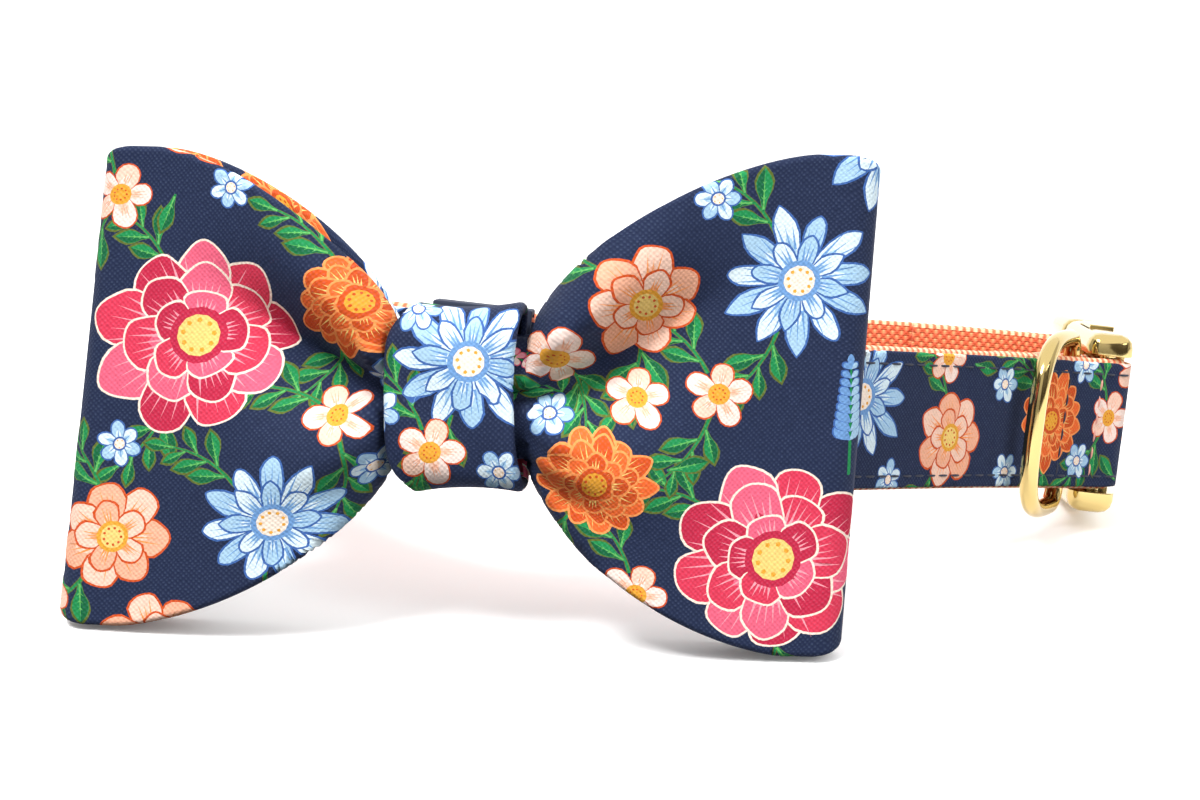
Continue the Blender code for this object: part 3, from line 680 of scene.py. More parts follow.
def around(centre, radius, first, second, sides):
    """Points of a circle in the plane of two directions."""
    angles = [2 * math.pi * step / sides for step in range(sides)]
    return [centre + radius * (math.cos(angle) * first + math.sin(angle) * second)
            for angle in angles]


def tube_faces(rings, sides, first=0, closed=False):
    """Faces that join rings of points into a tube."""
    faces = []
    for index in range(rings if closed else rings - 1):
        low, high = first + index * sides, first + (index + 1) % rings * sides
        for step in range(sides):
            after = (step + 1) % sides
            faces.append((low + step, low + after, high + after, high + step))
    return faces


def show(name, mesh, material, body="collar", stands_for=()):
    """Put a finished piece in the scene, in the row frame."""
    item = bpy.data.objects.new(name, mesh)
    bpy.context.scene.collection.objects.link(item)
    mesh.materials.append(material)
    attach(item, body)
    if stands_for:
        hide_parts(*stands_for)
    return item


def wrapped(middle, along, share, excess, radius):
    """Points and normals of cloth that turns round the edge of its wall.

    middle(along, share) gives the halfway surface; excess is how far past the edge the cloth has
    gone, in metres.
    """
    small = 0.0001
    angle = np.clip(excess / radius, 0.0, math.pi)
    side = np.sign(share)
    inward = np.clip(excess - math.pi * radius, 0.0, None)
    share = side * np.clip(np.abs(share) - inward / (BOW_HEIGHT / 2), 0.0, 1.0)
    before = middle(along - small, share)
    after = middle(along + small, share)
    low = middle(along, np.clip(share - 0.004, -1.0, 1.0))
    high = middle(along, np.clip(share + 0.004, -1.0, 1.0))
    normal, rise = unit(np.cross(after - before, high - low)), unit(high - low)
    facing = np.cos(angle)[:, None] * normal + (np.sin(angle) * side)[:, None] * rise
    return middle(along, share) + radius * facing, facing


# Bow


def knot_edge(side):
    """How far the knot reaches to one side at its widest."""
    return KNOT_WIDTH / 2 + np.where(side < 0, KNOT_BULGE, KNOT_BULGE / 10)


def bow_half_height(side, reach):
    """Half the height of the bow at a distance from its middle."""
    knot_half = KNOT_HEIGHT / 2 - 1.5 * CLOTH_THICKNESS - 7 * GAP
    start = (KNOT_WIDTH / 2 + knot_edge(side)) / 2 + 4 * GAP
    level = BOW_WIDTH / 2 - 2 * BOW_END_RADIUS
    share = np.clip((reach - start) / (level - start), 0.0, 1.0)
    rise = (1.0 - (1.0 - share) ** 1.5) ** 0.66
    full_half = BOW_HEIGHT / 2 * (1.0 + np.where(side > 0, RIGHT_WING_STRETCH, 0.0))
    return knot_half + (full_half - knot_half) * rise


def fold_relief(side, layer, share, height_share):
    """How far the folds push a layer out, as a share of the fullness."""
    relief = np.zeros_like(share)
    for fold_side, fold_layer, near, far, height, near_width, far_width, reach in FOLD_ROWS:
        along = np.clip(share / reach, 0.0, 1.0)
        place = near + (far - near) * along
        width = near_width + (far_width - near_width) * along
        offset = (height_share - place) / width
        if height < -0.5:
            offset = np.where(offset > 0.0, offset * 1.55, offset * 0.85)
            cross = np.exp(-np.abs(offset) ** 1.7)
        else:
            cross = np.exp(-np.abs(offset) ** 2.4)
        here = (side == fold_side) & (layer == fold_layer) & (share <= reach)
        relief += np.where(here, height * cross * (1.0 - smooth_step(along) ** 2), 0.0)
    return relief


def bow_stops(along):
    """Side, layer, share and turn at ways round the band from the middle of its front."""
    along = (along + BOW_LENGTH / 2) % BOW_LENGTH - BOW_LENGTH / 2
    way = np.abs(along)
    side = np.where(along < 0, -1.0, 1.0)
    layer = np.where(way <= BOW_LENGTH / 4, -1.0, 1.0)
    turn = np.clip((way - BOW_STRAIGHT) / BOW_END_RADIUS, 0.0, math.pi)
    share = np.clip(np.where(layer < 0, way, BOW_LENGTH / 2 - way) / BOW_STRAIGHT, 0.0, 1.0)
    return side, layer, share, turn


def bow_reach(along):
    """Side of the bow and distance from its middle."""
    side, _, share, turn = bow_stops(along)
    return side, BOW_STRAIGHT * share + BOW_END_RADIUS * np.sin(turn)


def bow_middle(along, height_share):
    """Points halfway through the wall of the bow, in the bow's frame."""
    side, layer, share, turn = bow_stops(along)
    reach = BOW_STRAIGHT * share + BOW_END_RADIUS * np.sin(turn)
    drop = CORNER_DROP * (1.0 - np.abs(np.cos(turn)))
    height = height_share * (bow_half_height(side, reach) - drop - CLOTH_THICKNESS / 2)
    lean = math.tan(EDGE_LEAN) - side * math.tan(EDGE_SPLAY)
    across = (side * BOW_WIDTH / 2 + lean * height) * reach / (BOW_WIDTH / 2)
    full = np.where(layer < 0, BOW_FRONT_FULLNESS, BOW_BACK_FULLNESS)
    seat = KNOT_DEPTH / 2 + layer * KNOT_CENTRE - 1.5 * CLOTH_THICKNESS - 3 * GAP
    bound = (knot_edge(side) + CLOTH_THICKNESS / 2) / (BOW_WIDTH / 2)
    rise = np.where(layer < 0, 0.26, 0.50)
    swell = seat + (full - seat) * smooth_step((share - bound) / (rise - bound))
    swell += (BOW_END_RADIUS - full) * smooth_step((share - 0.50) / 0.50)
    relief = fold_relief(side, layer, share, height_share)
    relief = np.where(relief > 0.0, relief * smooth_step((share - bound) / 0.12), relief)
    gather = np.sin(height_share * 21.0 + side * 1.3) * np.exp(-(share - bound) / 0.10)
    depth = swell * (1.0 + relief) + 0.00035 * gather * smooth_step((share - bound) / 0.05)
    pinch = 1.0 - smooth_step((share - bound) / (0.42 - bound))
    least = 0.7 * CLOTH_THICKNESS
    edge = np.clip(1.0 - np.abs(height_share) ** GATHER_SQUARENESS, 0.0, 1.0)
    edge = edge ** (1.0 / GATHER_SQUARENESS)
    pinched = least + np.clip(depth - least, 0.0, None) * edge
    flat_depth = layer * (depth + (pinched - depth) * pinch)
    round_depth = -BOW_END_RADIUS * np.cos(turn)
    return np.stack((across, np.where(turn > 0.0, round_depth, flat_depth), height), axis=1)


def bow_flat_half(along):
    """Half the height, in mm, that the print takes at a place round the band."""
    side, reach = bow_reach(along)
    half = bow_half_height(side, reach)
    return (half + 0.12 * (BOW_HEIGHT / 2 - half)) / MM


def build_bow(material):
    """The printed band of the bow, with its turned-in edges and its lining."""
    radius = CLOTH_THICKNESS / 2
    limit = BOW_LENGTH / 2
    columns = np.linspace(-limit, limit, 133)
    half = bow_flat_half(columns)
    extra = (math.pi * radius + BOW_TURN_IN) / MM
    fine = np.linspace(-limit, limit, 361)
    fine_half = bow_flat_half(fine)
    lower = np.stack((fine / MM, -(fine_half + extra)), axis=1)
    upper = np.stack((fine / MM, fine_half + extra), axis=1)[::-1]
    border = np.concatenate((lower, upper))
    rows = []
    for share in np.linspace(-1.0, 1.0, 39):
        rows.append(np.stack((columns / MM, share * half), axis=1))
    for angle in np.linspace(0.0, math.pi, 7):
        for side in (-1, 1):
            edge = side * (fine_half + angle * radius / MM)
            rows.append(np.stack((fine / MM, edge), axis=1))
    points = np.concatenate(rows)
    points = points[np.abs(points[:, 0]) < limit / MM - 0.3]
    low = (-limit / MM - 5.0, -BOW_HEIGHT / 2 / MM - 8.0)
    high = (limit / MM + 5.0, BOW_HEIGHT / 2 / MM + 8.0)
    shapes = flower_bed(BOW_SEED, low, high, BOW_MOTIFS)
    flat, triangles, colours = cut_cloth(shapes, border, points)
    along = flat[:, 0] * MM
    flat_half = bow_flat_half(along)
    share = np.clip(flat[:, 1] / flat_half, -1.0, 1.0)
    excess = np.clip(np.abs(flat[:, 1]) - flat_half, 0.0, None) * MM
    places, normals = wrapped(bow_middle, along, share, excess, radius)
    grid_along, grid_share = np.meshgrid(np.linspace(-limit, limit, 101),
                                         np.linspace(-0.86, 0.86, 21), indexing="ij")
    inner, inner_normals = wrapped(bow_middle, grid_along.ravel(), grid_share.ravel(),
                                   np.full(grid_along.size, math.pi * radius), radius)
    inner_flat = np.stack((grid_along.ravel() / MM, grid_share.ravel() * 37.0), axis=1)
    rows_across = grid_along.shape[1]
    inner_faces = [(first, first + 1, first + rows_across + 1, first + rows_across)
                   for first in range(grid_along.size - rows_across)
                   if (first + 1) % rows_across]
    lining = (move(inner, BOW_FRAME), inner_faces, turn_only(inner_normals, BOW_FRAME),
              inner_flat)
    mesh = cloth_mesh("bow_cloth", flat, triangles, colours, move(places, BOW_FRAME),
                      turn_only(normals, BOW_FRAME), lining)
    return show("bow_cloth", mesh, material, stands_for=["bow_loop"])


# Knot


def knot_section():
    """Angles round the knot at even ways, and the length once round."""
    angles = np.linspace(0.0, 2 * math.pi, 1441)
    power = 2.0 / KNOT_SQUARENESS
    cosine, sine = np.cos(angles), np.sin(angles)
    depth = np.sign(cosine) * np.abs(cosine) ** power * (KNOT_DEPTH - CLOTH_THICKNESS) / 2
    height = np.sign(sine) * np.abs(sine) ** power * (KNOT_HEIGHT - CLOTH_THICKNESS) / 2
    steps = np.hypot(np.diff(depth), np.diff(height))
    return angles, np.concatenate(([0.0], np.cumsum(steps)))


KNOT_ANGLES, KNOT_WAYS = knot_section()
KNOT_LENGTH = float(KNOT_WAYS[-1])


def up_shares(angle):
    """Height of the knot's middle line at an angle, from -1 to 1."""
    sine = np.sin(angle)
    return np.sign(sine) * np.abs(sine) ** (2.0 / KNOT_SQUARENESS)


def knot_sides(up_way):
    """Left and right edge of the knot at ways round it; 0 is the middle of its front."""
    angle = np.interp(up_way % KNOT_LENGTH, KNOT_WAYS, KNOT_ANGLES)
    front = smooth_step(np.cos(angle))
    level = np.clip(np.abs(up_shares(angle)), 0.0, 1.0)
    left = -KNOT_WIDTH / 2 - KNOT_BULGE * front * (1.0 - 0.75 * level ** 5)
    right = KNOT_WIDTH / 2 + 0.0006 * level ** 3 - 0.0008 * front * (1.0 - level ** 2)
    return angle, left + CLOTH_THICKNESS / 2, right - CLOTH_THICKNESS / 2


def knot_middle(up_way, across_share):
    """Points halfway through the knot's wall; across_share runs from -1 to 1."""
    angle, left, right = knot_sides(up_way)
    power = 2.0 / KNOT_SQUARENESS
    cosine, sine = np.cos(angle), np.sin(angle)
    half_depth = (KNOT_DEPTH - CLOTH_THICKNESS) / 2
    half_height = (KNOT_HEIGHT - CLOTH_THICKNESS) / 2
    depth = -np.sign(cosine) * np.abs(cosine) ** power * half_depth
    height = np.sign(sine) * np.abs(sine) ** power * half_height
    crown = 0.0007 * (1.0 - across_share ** 2) * smooth_step(cosine)
    wave = 0.00025 * np.sin(across_share * 4.0 + height * 330.0) * smooth_step(cosine)
    height -= np.sign(height) * 0.0007 * (1.0 - across_share ** 2) * smooth_step(np.abs(sine))
    across = left + (right - left) * (across_share + 1.0) / 2
    return np.stack((across, KNOT_CENTRE + depth - crown - wave, height), axis=1)


def build_knot(material):
    """The printed band round the middle of the bow."""
    radius = CLOTH_THICKNESS / 2
    limit = KNOT_LENGTH / 2
    ways = np.linspace(-limit, limit, 97)
    extra = (math.pi * radius) / MM
    left, right = knot_sides(ways)[1:]
    centre, half = (left + right) / 2 / MM, (right - left) / 2 / MM
    lower = np.stack((centre - half - extra, ways / MM), axis=1)
    upper = np.stack((centre + half + extra, ways / MM), axis=1)[::-1]
    border = np.concatenate((lower, upper))[::-1]
    rows = []
    for share in np.linspace(-1.0, 1.0, 15):
        rows.append(np.stack((centre + share * half, ways / MM), axis=1))
    for angle in np.linspace(0.0, math.pi, 6)[1:-1]:
        for side in (-1, 1):
            reach = half + angle * radius / MM
            rows.append(np.stack((centre + side * reach, ways / MM), axis=1))
    points = np.concatenate(rows)
    points = points[np.abs(points[:, 1]) < limit / MM - 0.3]
    shapes = flower_bed(KNOT_SEED, (-16.0, -limit / MM - 4.0), (16.0, limit / MM + 4.0),
                        KNOT_MOTIFS)
    flat, triangles, colours = cut_cloth(shapes, border, points)
    way = flat[:, 1] * MM
    left, right = knot_sides(way)[1:]
    middle, span = (left + right) / 2, (right - left) / 2
    offset = flat[:, 0] * MM - middle
    share = np.clip(offset / span, -1.0, 1.0)
    excess = np.clip(np.abs(offset) - span, 0.0, None)

    def halfway(across, up):
        return knot_middle(up, across)

    places, normals = wrapped_across(halfway, share, way, excess, radius)
    mesh = cloth_mesh("knot_cloth", flat, triangles, colours, move(places, KNOT_FRAME),
                      turn_only(normals, KNOT_FRAME))
    return show("knot_cloth", mesh, material, stands_for=["knot_band"])


def wrapped_across(middle, share, way, excess, radius):
    """Like wrapped, for cloth whose turned edges are its left and right ones."""
    small = 0.00012
    angle = np.clip(excess / radius, 0.0, math.pi)
    side = np.sign(share)
    rise = middle(share, way + small) - middle(share, way - small)
    spread = middle(np.clip(share + 0.01, -1, 1), way) - middle(np.clip(share - 0.01, -1, 1), way)
    normal, spread = unit(np.cross(spread, rise)), unit(spread)
    facing = np.cos(angle)[:, None] * normal + (np.sin(angle) * side)[:, None] * spread
    return middle(share, way) + radius * facing, facing


# Strap


def cubic_through(points, start_slope, end_slope, count):
    """Even steps along a smooth curve through points, with given end directions."""
    points = np.array(points)
    spans = np.linalg.norm(np.diff(points[:, :2], axis=0), axis=1)
    size = len(points)
    matrix = np.zeros((size, size))
    target = np.zeros(points.shape)
    matrix[0, 0] = matrix[-1, -1] = 1.0
    target[0], target[-1] = start_slope, end_slope
    for index in range(1, size - 1):
        before, after = spans[index - 1], spans[index]
        matrix[index, index - 1] = after
        matrix[index, index] = 2.0 * (before + after)
        matrix[index, index + 1] = before
        rise_before = (points[index] - points[index - 1]) / before
        rise_after = (points[index + 1] - points[index]) / after
        target[index] = 3.0 * (after * rise_before + before * rise_after)
    slopes = np.linalg.solve(matrix, target)
    fine = []
    for index, span in enumerate(spans):
        for step in np.arange(0.0, 1.0, 0.02):
            square, cube = step ** 2, step ** 3
            fine.append((2 * cube - 3 * square + 1) * points[index]
                        + (cube - 2 * square + step) * span * slopes[index]
                        + (3 * square - 2 * cube) * points[index + 1]
                        + (cube - square) * span * slopes[index + 1])
    fine.append(points[-1])
    fine = np.array(fine)
    lengths = np.concatenate(([0.0], np.cumsum(np.linalg.norm(np.diff(fine, axis=0), axis=1))))
    even = np.linspace(0.0, lengths[-1], count)
    return np.stack([np.interp(even, lengths, fine[:, axis]) for axis in range(3)], axis=1)


NEAR_BAR = Vector((
    NEAR_BAR_ACROSS * LOOP_WIDTH,
    STRAP_FRONT + LOOP_DEPTH - WRAP_RADIUS - BUCKLE_BAR_SPACING,
    0.0,
))
BUCKLE_TURN = Matrix.Rotation(BUCKLE_PITCH, 4, "X")
FAR_BAR = NEAR_BAR + BUCKLE_TURN @ Vector((0.0, BUCKLE_BAR_SPACING, 0.0))
STRAP_STATIONS = 420
FOLD_STATIONS = 16
RETURN_STATIONS = 48


def upright(point):
    """The direction across the strap at a point."""
    share = (point.y - STRAP_FRONT) / (NEAR_BAR.y - STRAP_FRONT)
    lean = BUCKLE_PITCH * float(smooth_step(share))
    return Vector((0.0, -math.sin(lean), math.cos(lean)))


def outward(point, way):
    """The direction out of the loop, to the right of the way along it."""
    return way.cross(upright(point)).normalized()


def line_ways(line):
    """The direction of a line at each of its points."""
    ends = zip([line[0]] + line[:-1], line[1:] + [line[-1]])
    return [(after - before).normalized() for before, after in ends]


def line_frames(line):
    """The outward direction at each point of a line."""
    return [outward(point, way) for point, way in zip(line, line_ways(line))]


def main_line():
    """The middle of the outer layer of webbing, from the far bar round to the near bar."""
    turn = BUCKLE_TURN.to_3x3()
    far_way = turn @ Vector((math.cos(FAR_STRAP_ANGLE), math.sin(FAR_STRAP_ANGLE), 0.0))
    near_way = turn @ Vector((math.cos(NEAR_STRAP_ANGLE), math.sin(NEAR_STRAP_ANGLE), 0.0))
    start = FAR_BAR + outward(FAR_BAR, far_way) * WRAP_RADIUS
    end = NEAR_BAR + outward(NEAR_BAR, near_way) * WRAP_RADIUS
    middle = [
        (across * LOOP_WIDTH, STRAP_FRONT + back * LOOP_DEPTH, height * LOOP_WARP)
        for across, back, height in LOOP_ROWS
    ]
    points = [tuple(start), *middle, tuple(end)]
    return [Vector(point) for point in cubic_through(points, far_way, near_way, STRAP_STATIONS)]


def eased_table(rows, place):
    """Read a two-column table at a place, easing between its rows."""
    for (start, first), (end, last) in zip(rows, rows[1:]):
        if place <= end:
            return first + (last - first) * float(smooth_step((place - start) / (end - start)))
    return rows[-1][1]


def fold_line(bar, out, way):
    """Half a turn of webbing round a bar, from its outer side to its inner side."""
    points = []
    for index in range(1, FOLD_STATIONS):
        angle = math.pi * index / FOLD_STATIONS
        points.append(bar + WRAP_RADIUS * (math.cos(angle) * out + math.sin(angle) * way))
    return points


def return_line(line, frames, rows):
    """The turned-back end beside a line that starts at the bar, nearest point first."""
    lengths = [0.0]
    for first, second in zip(line, line[1:]):
        lengths.append(lengths[-1] + (second - first).length)
    spread = 2 * WRAP_RADIUS - LAYER_PITCH
    points = []
    for index in range(RETURN_STATIONS + 1):
        share = index / RETURN_STATIONS
        place = share * FOLDED_END_LENGTH
        after = next(count for count, length in enumerate(lengths) if count and length >= place)
        part = (place - lengths[after - 1]) / (lengths[after] - lengths[after - 1])
        point = line[after - 1].lerp(line[after], part)
        out = frames[after - 1].lerp(frames[after], part).normalized()
        points.append(point - out * (LAYER_PITCH + spread * eased_table(rows, share)))
    return points


def webbing_line():
    """The middle of the webbing from end to end, and the index of its first outer point."""
    line = main_line()
    frames = line_frames(line)
    far_way = (line[0] - line[1]).normalized()
    near_way = (line[-1] - line[-2]).normalized()
    far_fold = fold_line(FAR_BAR, frames[0], far_way)
    near_fold = fold_line(NEAR_BAR, frames[-1], near_way)
    near_end = near_fold + return_line(line[::-1], frames[::-1], NEAR_RETURN_ROWS)
    turned = return_line(line, frames, FAR_RETURN_ROWS)[::-1] + far_fold[::-1]
    return turned + line + near_end, len(turned)


class Way:
    """A line with its frames, read at lengths along it."""

    def __init__(self, line):
        frames = line_frames(line)
        self.points = np.array([tuple(point) for point in line])
        self.outs = np.array([tuple(out) for out in frames])
        self.sides = np.array([tuple(out.cross(way)) for out, way in zip(frames, line_ways(line))])
        steps = np.linalg.norm(np.diff(self.points, axis=0), axis=1)
        self.lengths = np.concatenate(([0.0], np.cumsum(steps)))
        self.total = float(self.lengths[-1])

    def read(self, rows, along):
        """One of its tables at lengths along it."""
        return np.stack([np.interp(along, self.lengths, rows[:, axis]) for axis in range(3)],
                        axis=1)

    def place(self, along, out, side):
        """Points at lengths along it, moved outward and across."""
        outs, sides = unit(self.read(self.outs, along)), unit(self.read(self.sides, along))
        return (self.read(self.points, along) + outs * np.asarray(out)[:, None]
                + sides * np.asarray(side)[:, None])


def ribbon_section(width, thickness):
    """The outline of a ribbon with round edges: out and side offsets."""
    half, radius = width / 2 - thickness / 2, thickness / 2
    points = []
    for centre, start in ((half, 0.0), (-half, math.pi)):
        for step in range(7):
            angle = start + math.pi * step / 6
            points.append((radius * math.cos(angle), centre + radius * math.sin(angle)))
    return np.array(points)


def build_webbing(material, way):
    """The webbing with round selvedges."""
    section = ribbon_section(STRAP_WIDTH, WEBBING_THICKNESS)
    half = len(section) // 2
    sides = STRAP_WIDTH * (0.5 - np.linspace(0, 1, 7)[1:-1]) * 0.93
    inner = np.stack((np.full(len(sides), -WEBBING_THICKNESS / 2), sides), axis=1)
    loop = np.concatenate((section[:half], inner, section[half:], -inner))
    count = len(loop)
    stations = np.linspace(0.0, way.total, WEBBING_STATIONS)
    points = np.concatenate([way.place(np.full(count, along), loop[:, 0], loop[:, 1])
                             for along in stations])
    steps = np.linalg.norm(np.diff(np.concatenate((loop, loop[:1])), axis=0), axis=1)
    ways_round = np.concatenate(([0.0], np.cumsum(steps)))
    faces = tube_faces(len(stations), count)
    faces.append(tuple(range(count))[::-1])
    faces.append(tuple(range(len(points) - count, len(points))))
    coordinates = []
    for low, high in zip(stations, stations[1:]):
        for near, far in zip(ways_round, ways_round[1:]):
            coordinates += [(low, near), (low, far), (high, far), (high, near)]
    coordinates += [(0.0, 0.0)] * (2 * count)
    mesh = solid_mesh("webbing", move(points, STAND), faces)
    side = mesh.attributes.new("across", "FLOAT", "POINT")
    side.data.foreach_set("value", np.tile(loop[:, 1], len(stations)))
    uv = mesh.uv_layers.new(name="cloth")
    uv.data.foreach_set("uv", np.array(coordinates).ravel())
    return show("webbing", mesh, material, stands_for=["webbing_strap"])


def build_cover(material, way, start, end):
    """The printed strip on the outer face of the webbing."""
    radius = COVER_THICKNESS / 2
    half = COVER_WIDTH / 2 - radius
    extra = math.pi * radius
    limit = (half + extra) / MM
    columns = np.arange(start / MM, end / MM + 0.5, 2.0)
    columns[-1] = end / MM
    border = np.concatenate((np.stack((columns, np.full(len(columns), -limit)), axis=1),
                             np.stack((columns, np.full(len(columns), limit)), axis=1)[::-1]))
    rows = []
    offsets = list(np.linspace(-half, half, 11))
    for angle in np.linspace(0.0, math.pi, 6)[1:-1]:
        offsets += [half + angle * radius, -half - angle * radius]
    middle = columns[1:-1]
    for offset in offsets:
        rows.append(np.stack((middle, np.full(len(middle), offset / MM)), axis=1))
    points = np.concatenate(rows)
    last = end / MM
    motifs = [(kind, last - before, up, turn) for kind, before, up, turn in COVER_MOTIFS]
    shapes = flower_bed(COVER_SEED, (start / MM - 3.0, -13.0), (last + 3.0, 13.0), motifs)
    flat, triangles, colours = cut_cloth(shapes, border, points)
    along = flat[:, 0] * MM
    side = np.clip(flat[:, 1] * MM, -half, half)
    excess = np.clip(np.abs(flat[:, 1]) * MM - half, 0.0, None)
    angle = np.clip(excess / radius, 0.0, math.pi)
    sign = np.sign(flat[:, 1])
    pucker = 0.00010 * np.sin(along / 0.0035 * 2 * math.pi) * np.exp(
        -((np.abs(side) - half + 0.0018) / 0.0012) ** 2)
    out = COVER_OFFSET + pucker + radius * np.cos(angle)
    across = side + sign * radius * np.sin(angle)
    places = way.place(along, out, across)
    outs = way.read(way.outs, along)
    sides = way.read(way.sides, along)
    facing = np.cos(angle)[:, None] * outs + (np.sin(angle) * sign)[:, None] * sides
    mesh = cloth_mesh("cover_cloth", flat, triangles, colours, move(places, STAND),
                      turn_only(unit(facing), STAND))
    return show("cover_cloth", mesh, material,
                stands_for=["fabric_cover"])


def build_stitches(name, material, way, runs):
    """Short raised threads. runs holds (start along, start side, end along, end side)."""
    verts, faces = [], []
    shares = np.linspace(0.0, 1.0, 5)
    lift = np.sin(shares * math.pi) ** 0.5
    base = COVER_OFFSET + COVER_THICKNESS / 2
    for start, start_side, end, end_side in runs:
        along = start + (end - start) * shares
        across = start_side + (end_side - start_side) * shares
        centre = way.place(along, base - 0.0001 + 0.0002 * lift, across)
        above = way.place(along, base + 0.0009 + 0.0002 * lift, across)
        up = unit(above - centre)
        beside = unit(np.cross(np.gradient(centre, axis=0), up))
        faces += tube_faces(len(shares), STITCH_SIDES, first=len(verts))
        for index, height in enumerate(lift):
            thick = STITCH_RADIUS * (0.45 + 0.55 * height)
            verts += around(centre[index], thick, up[index], beside[index], STITCH_SIDES)
    return show(name, solid_mesh(name, move(np.array(verts), STAND), faces), material)


def ring_axis():
    """Where the straight side of the D-ring lies, and the way out of the loop there."""
    line = main_line()
    frames = line_frames(line)
    walked = 0.0
    for index in range(len(line) - 1, 0, -1):
        step = (line[index] - line[index - 1]).length
        if walked + step >= RING_SETBACK:
            part = (RING_SETBACK - walked) / step
            point = line[index].lerp(line[index - 1], part)
            out = frames[index].lerp(frames[index - 1], part).normalized()
            return point - out * WRAP_RADIUS, out
        walked += step
    raise ValueError("the strap is shorter than the D-ring's setback")


def ring_line():
    """The middle of the D-ring's wire in its own plane."""
    half = (RING_INNER_WIDTH + RING_WIRE) / 2
    corner = RING_CORNER_RADIUS
    bend = RING_DEPTH - corner
    power = 2.0 / RING_SQUARENESS
    outline = []
    for index in range(9):
        angle = math.pi / 2 * index / 8
        outline.append((corner * (1.0 - math.cos(angle)), half - corner * (1 - math.sin(angle))))
    for index in range(1, 64):
        angle = math.pi / 2 - math.pi * index / 64
        sine = math.sin(angle)
        outline.append((corner + bend * math.cos(angle) ** power,
                        half * math.copysign(abs(sine) ** power, sine)))
    outline += [(depth, -height) for depth, height in outline[8::-1]]
    straight = np.linspace(outline[-1][1], outline[0][1], 14)[1:-1]
    outline += [(0.0, height) for height in straight]
    return np.array([(depth, 0.0, height) for depth, height in outline])


def build_ring(material):
    """The D-ring."""
    place, out = ring_axis()
    side = upright(place)
    reach = Matrix.Rotation(RING_REST_ANGLE, 3, side) @ out.cross(side)
    columns = Matrix((reach, side.cross(reach), side)).transposed()
    own = STAND @ Matrix.Translation(place) @ columns.to_4x4()
    centre = ring_line()
    ways = unit(np.roll(centre, -1, axis=0) - np.roll(centre, 1, axis=0))
    flank = np.array((0.0, 1.0, 0.0))
    verts = []
    for point, way in zip(centre, ways):
        verts += around(point, RING_WIRE / 2, np.cross(way, flank), flank, RING_SIDES)
    mesh = solid_mesh("ring_metal", move(np.array(verts), own),
                      tube_faces(len(centre), RING_SIDES, closed=True))
    return show("ring_metal", mesh, material, body="d_ring",
                stands_for=["d_ring"])


# Materials


def set_inputs(node, values):
    """Set constants on a node's sockets."""
    for name, value in values.items():
        node.inputs[name].default_value = value

class Nodes:
    """Short calls for a material's node tree."""

    def __init__(self, name):
        self.material = bpy.data.materials.new(name)
        self.material.use_nodes = True
        self.tree = self.material.node_tree
        self.shader = self.tree.nodes["Principled BSDF"]

    def node(self, kind, **settings):
        """Add a node."""
        made = self.tree.nodes.new(kind)
        for key, value in settings.items():
            setattr(made, key, value)
        return made

    def put(self, value, socket):
        """Link an output, or set a constant."""
        if isinstance(value, bpy.types.NodeSocket):
            self.tree.links.new(value, socket)
        else:
            socket.default_value = value

    def math(self, operation, first, second=0.0, third=0.0, clamp=False):
        """A number worked out from others."""
        made = self.node("ShaderNodeMath", operation=operation, use_clamp=clamp)
        for value, socket in zip((first, second, third), made.inputs):
            self.put(value, socket)
        return made.outputs[0]

    def mix(self, share, first, second):
        """A colour between two."""
        made = self.node("ShaderNodeMix", data_type="RGBA")
        self.put(share, made.inputs["Factor"])
        self.put(first, made.inputs[6])
        self.put(second, made.inputs[7])
        return made.outputs[2]

    def flat_place(self):
        """The flat coordinates of the cloth in metres: along and across."""
        place = self.node("ShaderNodeUVMap", uv_map="cloth")
        split = self.node("ShaderNodeSeparateXYZ")
        self.tree.links.new(place.outputs["UV"], split.inputs[0])
        return split.outputs[0], split.outputs[1]

    def noise(self, along, across, along_scale, across_scale):
        """Noise stretched to its own scale in each direction."""
        join = self.node("ShaderNodeCombineXYZ")
        self.put(self.math("MULTIPLY", along, along_scale), join.inputs[0])
        self.put(self.math("MULTIPLY", across, across_scale), join.inputs[1])
        made = self.node("ShaderNodeTexNoise")
        set_inputs(made, {"Scale": 1.0, "Detail": 2.0})
        self.tree.links.new(join.outputs[0], made.inputs["Vector"])
        return made.outputs["Fac"]

    def wave(self, value, pitch):
        """A sine with a pitch in metres."""
        return self.math("SINE", self.math("MULTIPLY", value, 2 * math.pi / pitch))

    def bump(self, height, strength, distance):
        """Raise the surface."""
        made = self.node("ShaderNodeBump")
        set_inputs(made, {"Strength": strength, "Distance": distance})
        self.put(height, made.inputs["Height"])
        self.tree.links.new(made.outputs["Normal"], self.shader.inputs["Normal"])

    def scaled(self, colour, factor):
        """A colour made lighter or darker."""
        made = self.node("ShaderNodeVectorMath", operation="SCALE")
        self.put(colour, made.inputs[0])
        self.put(factor, made.inputs["Scale"])
        return made.outputs[0]


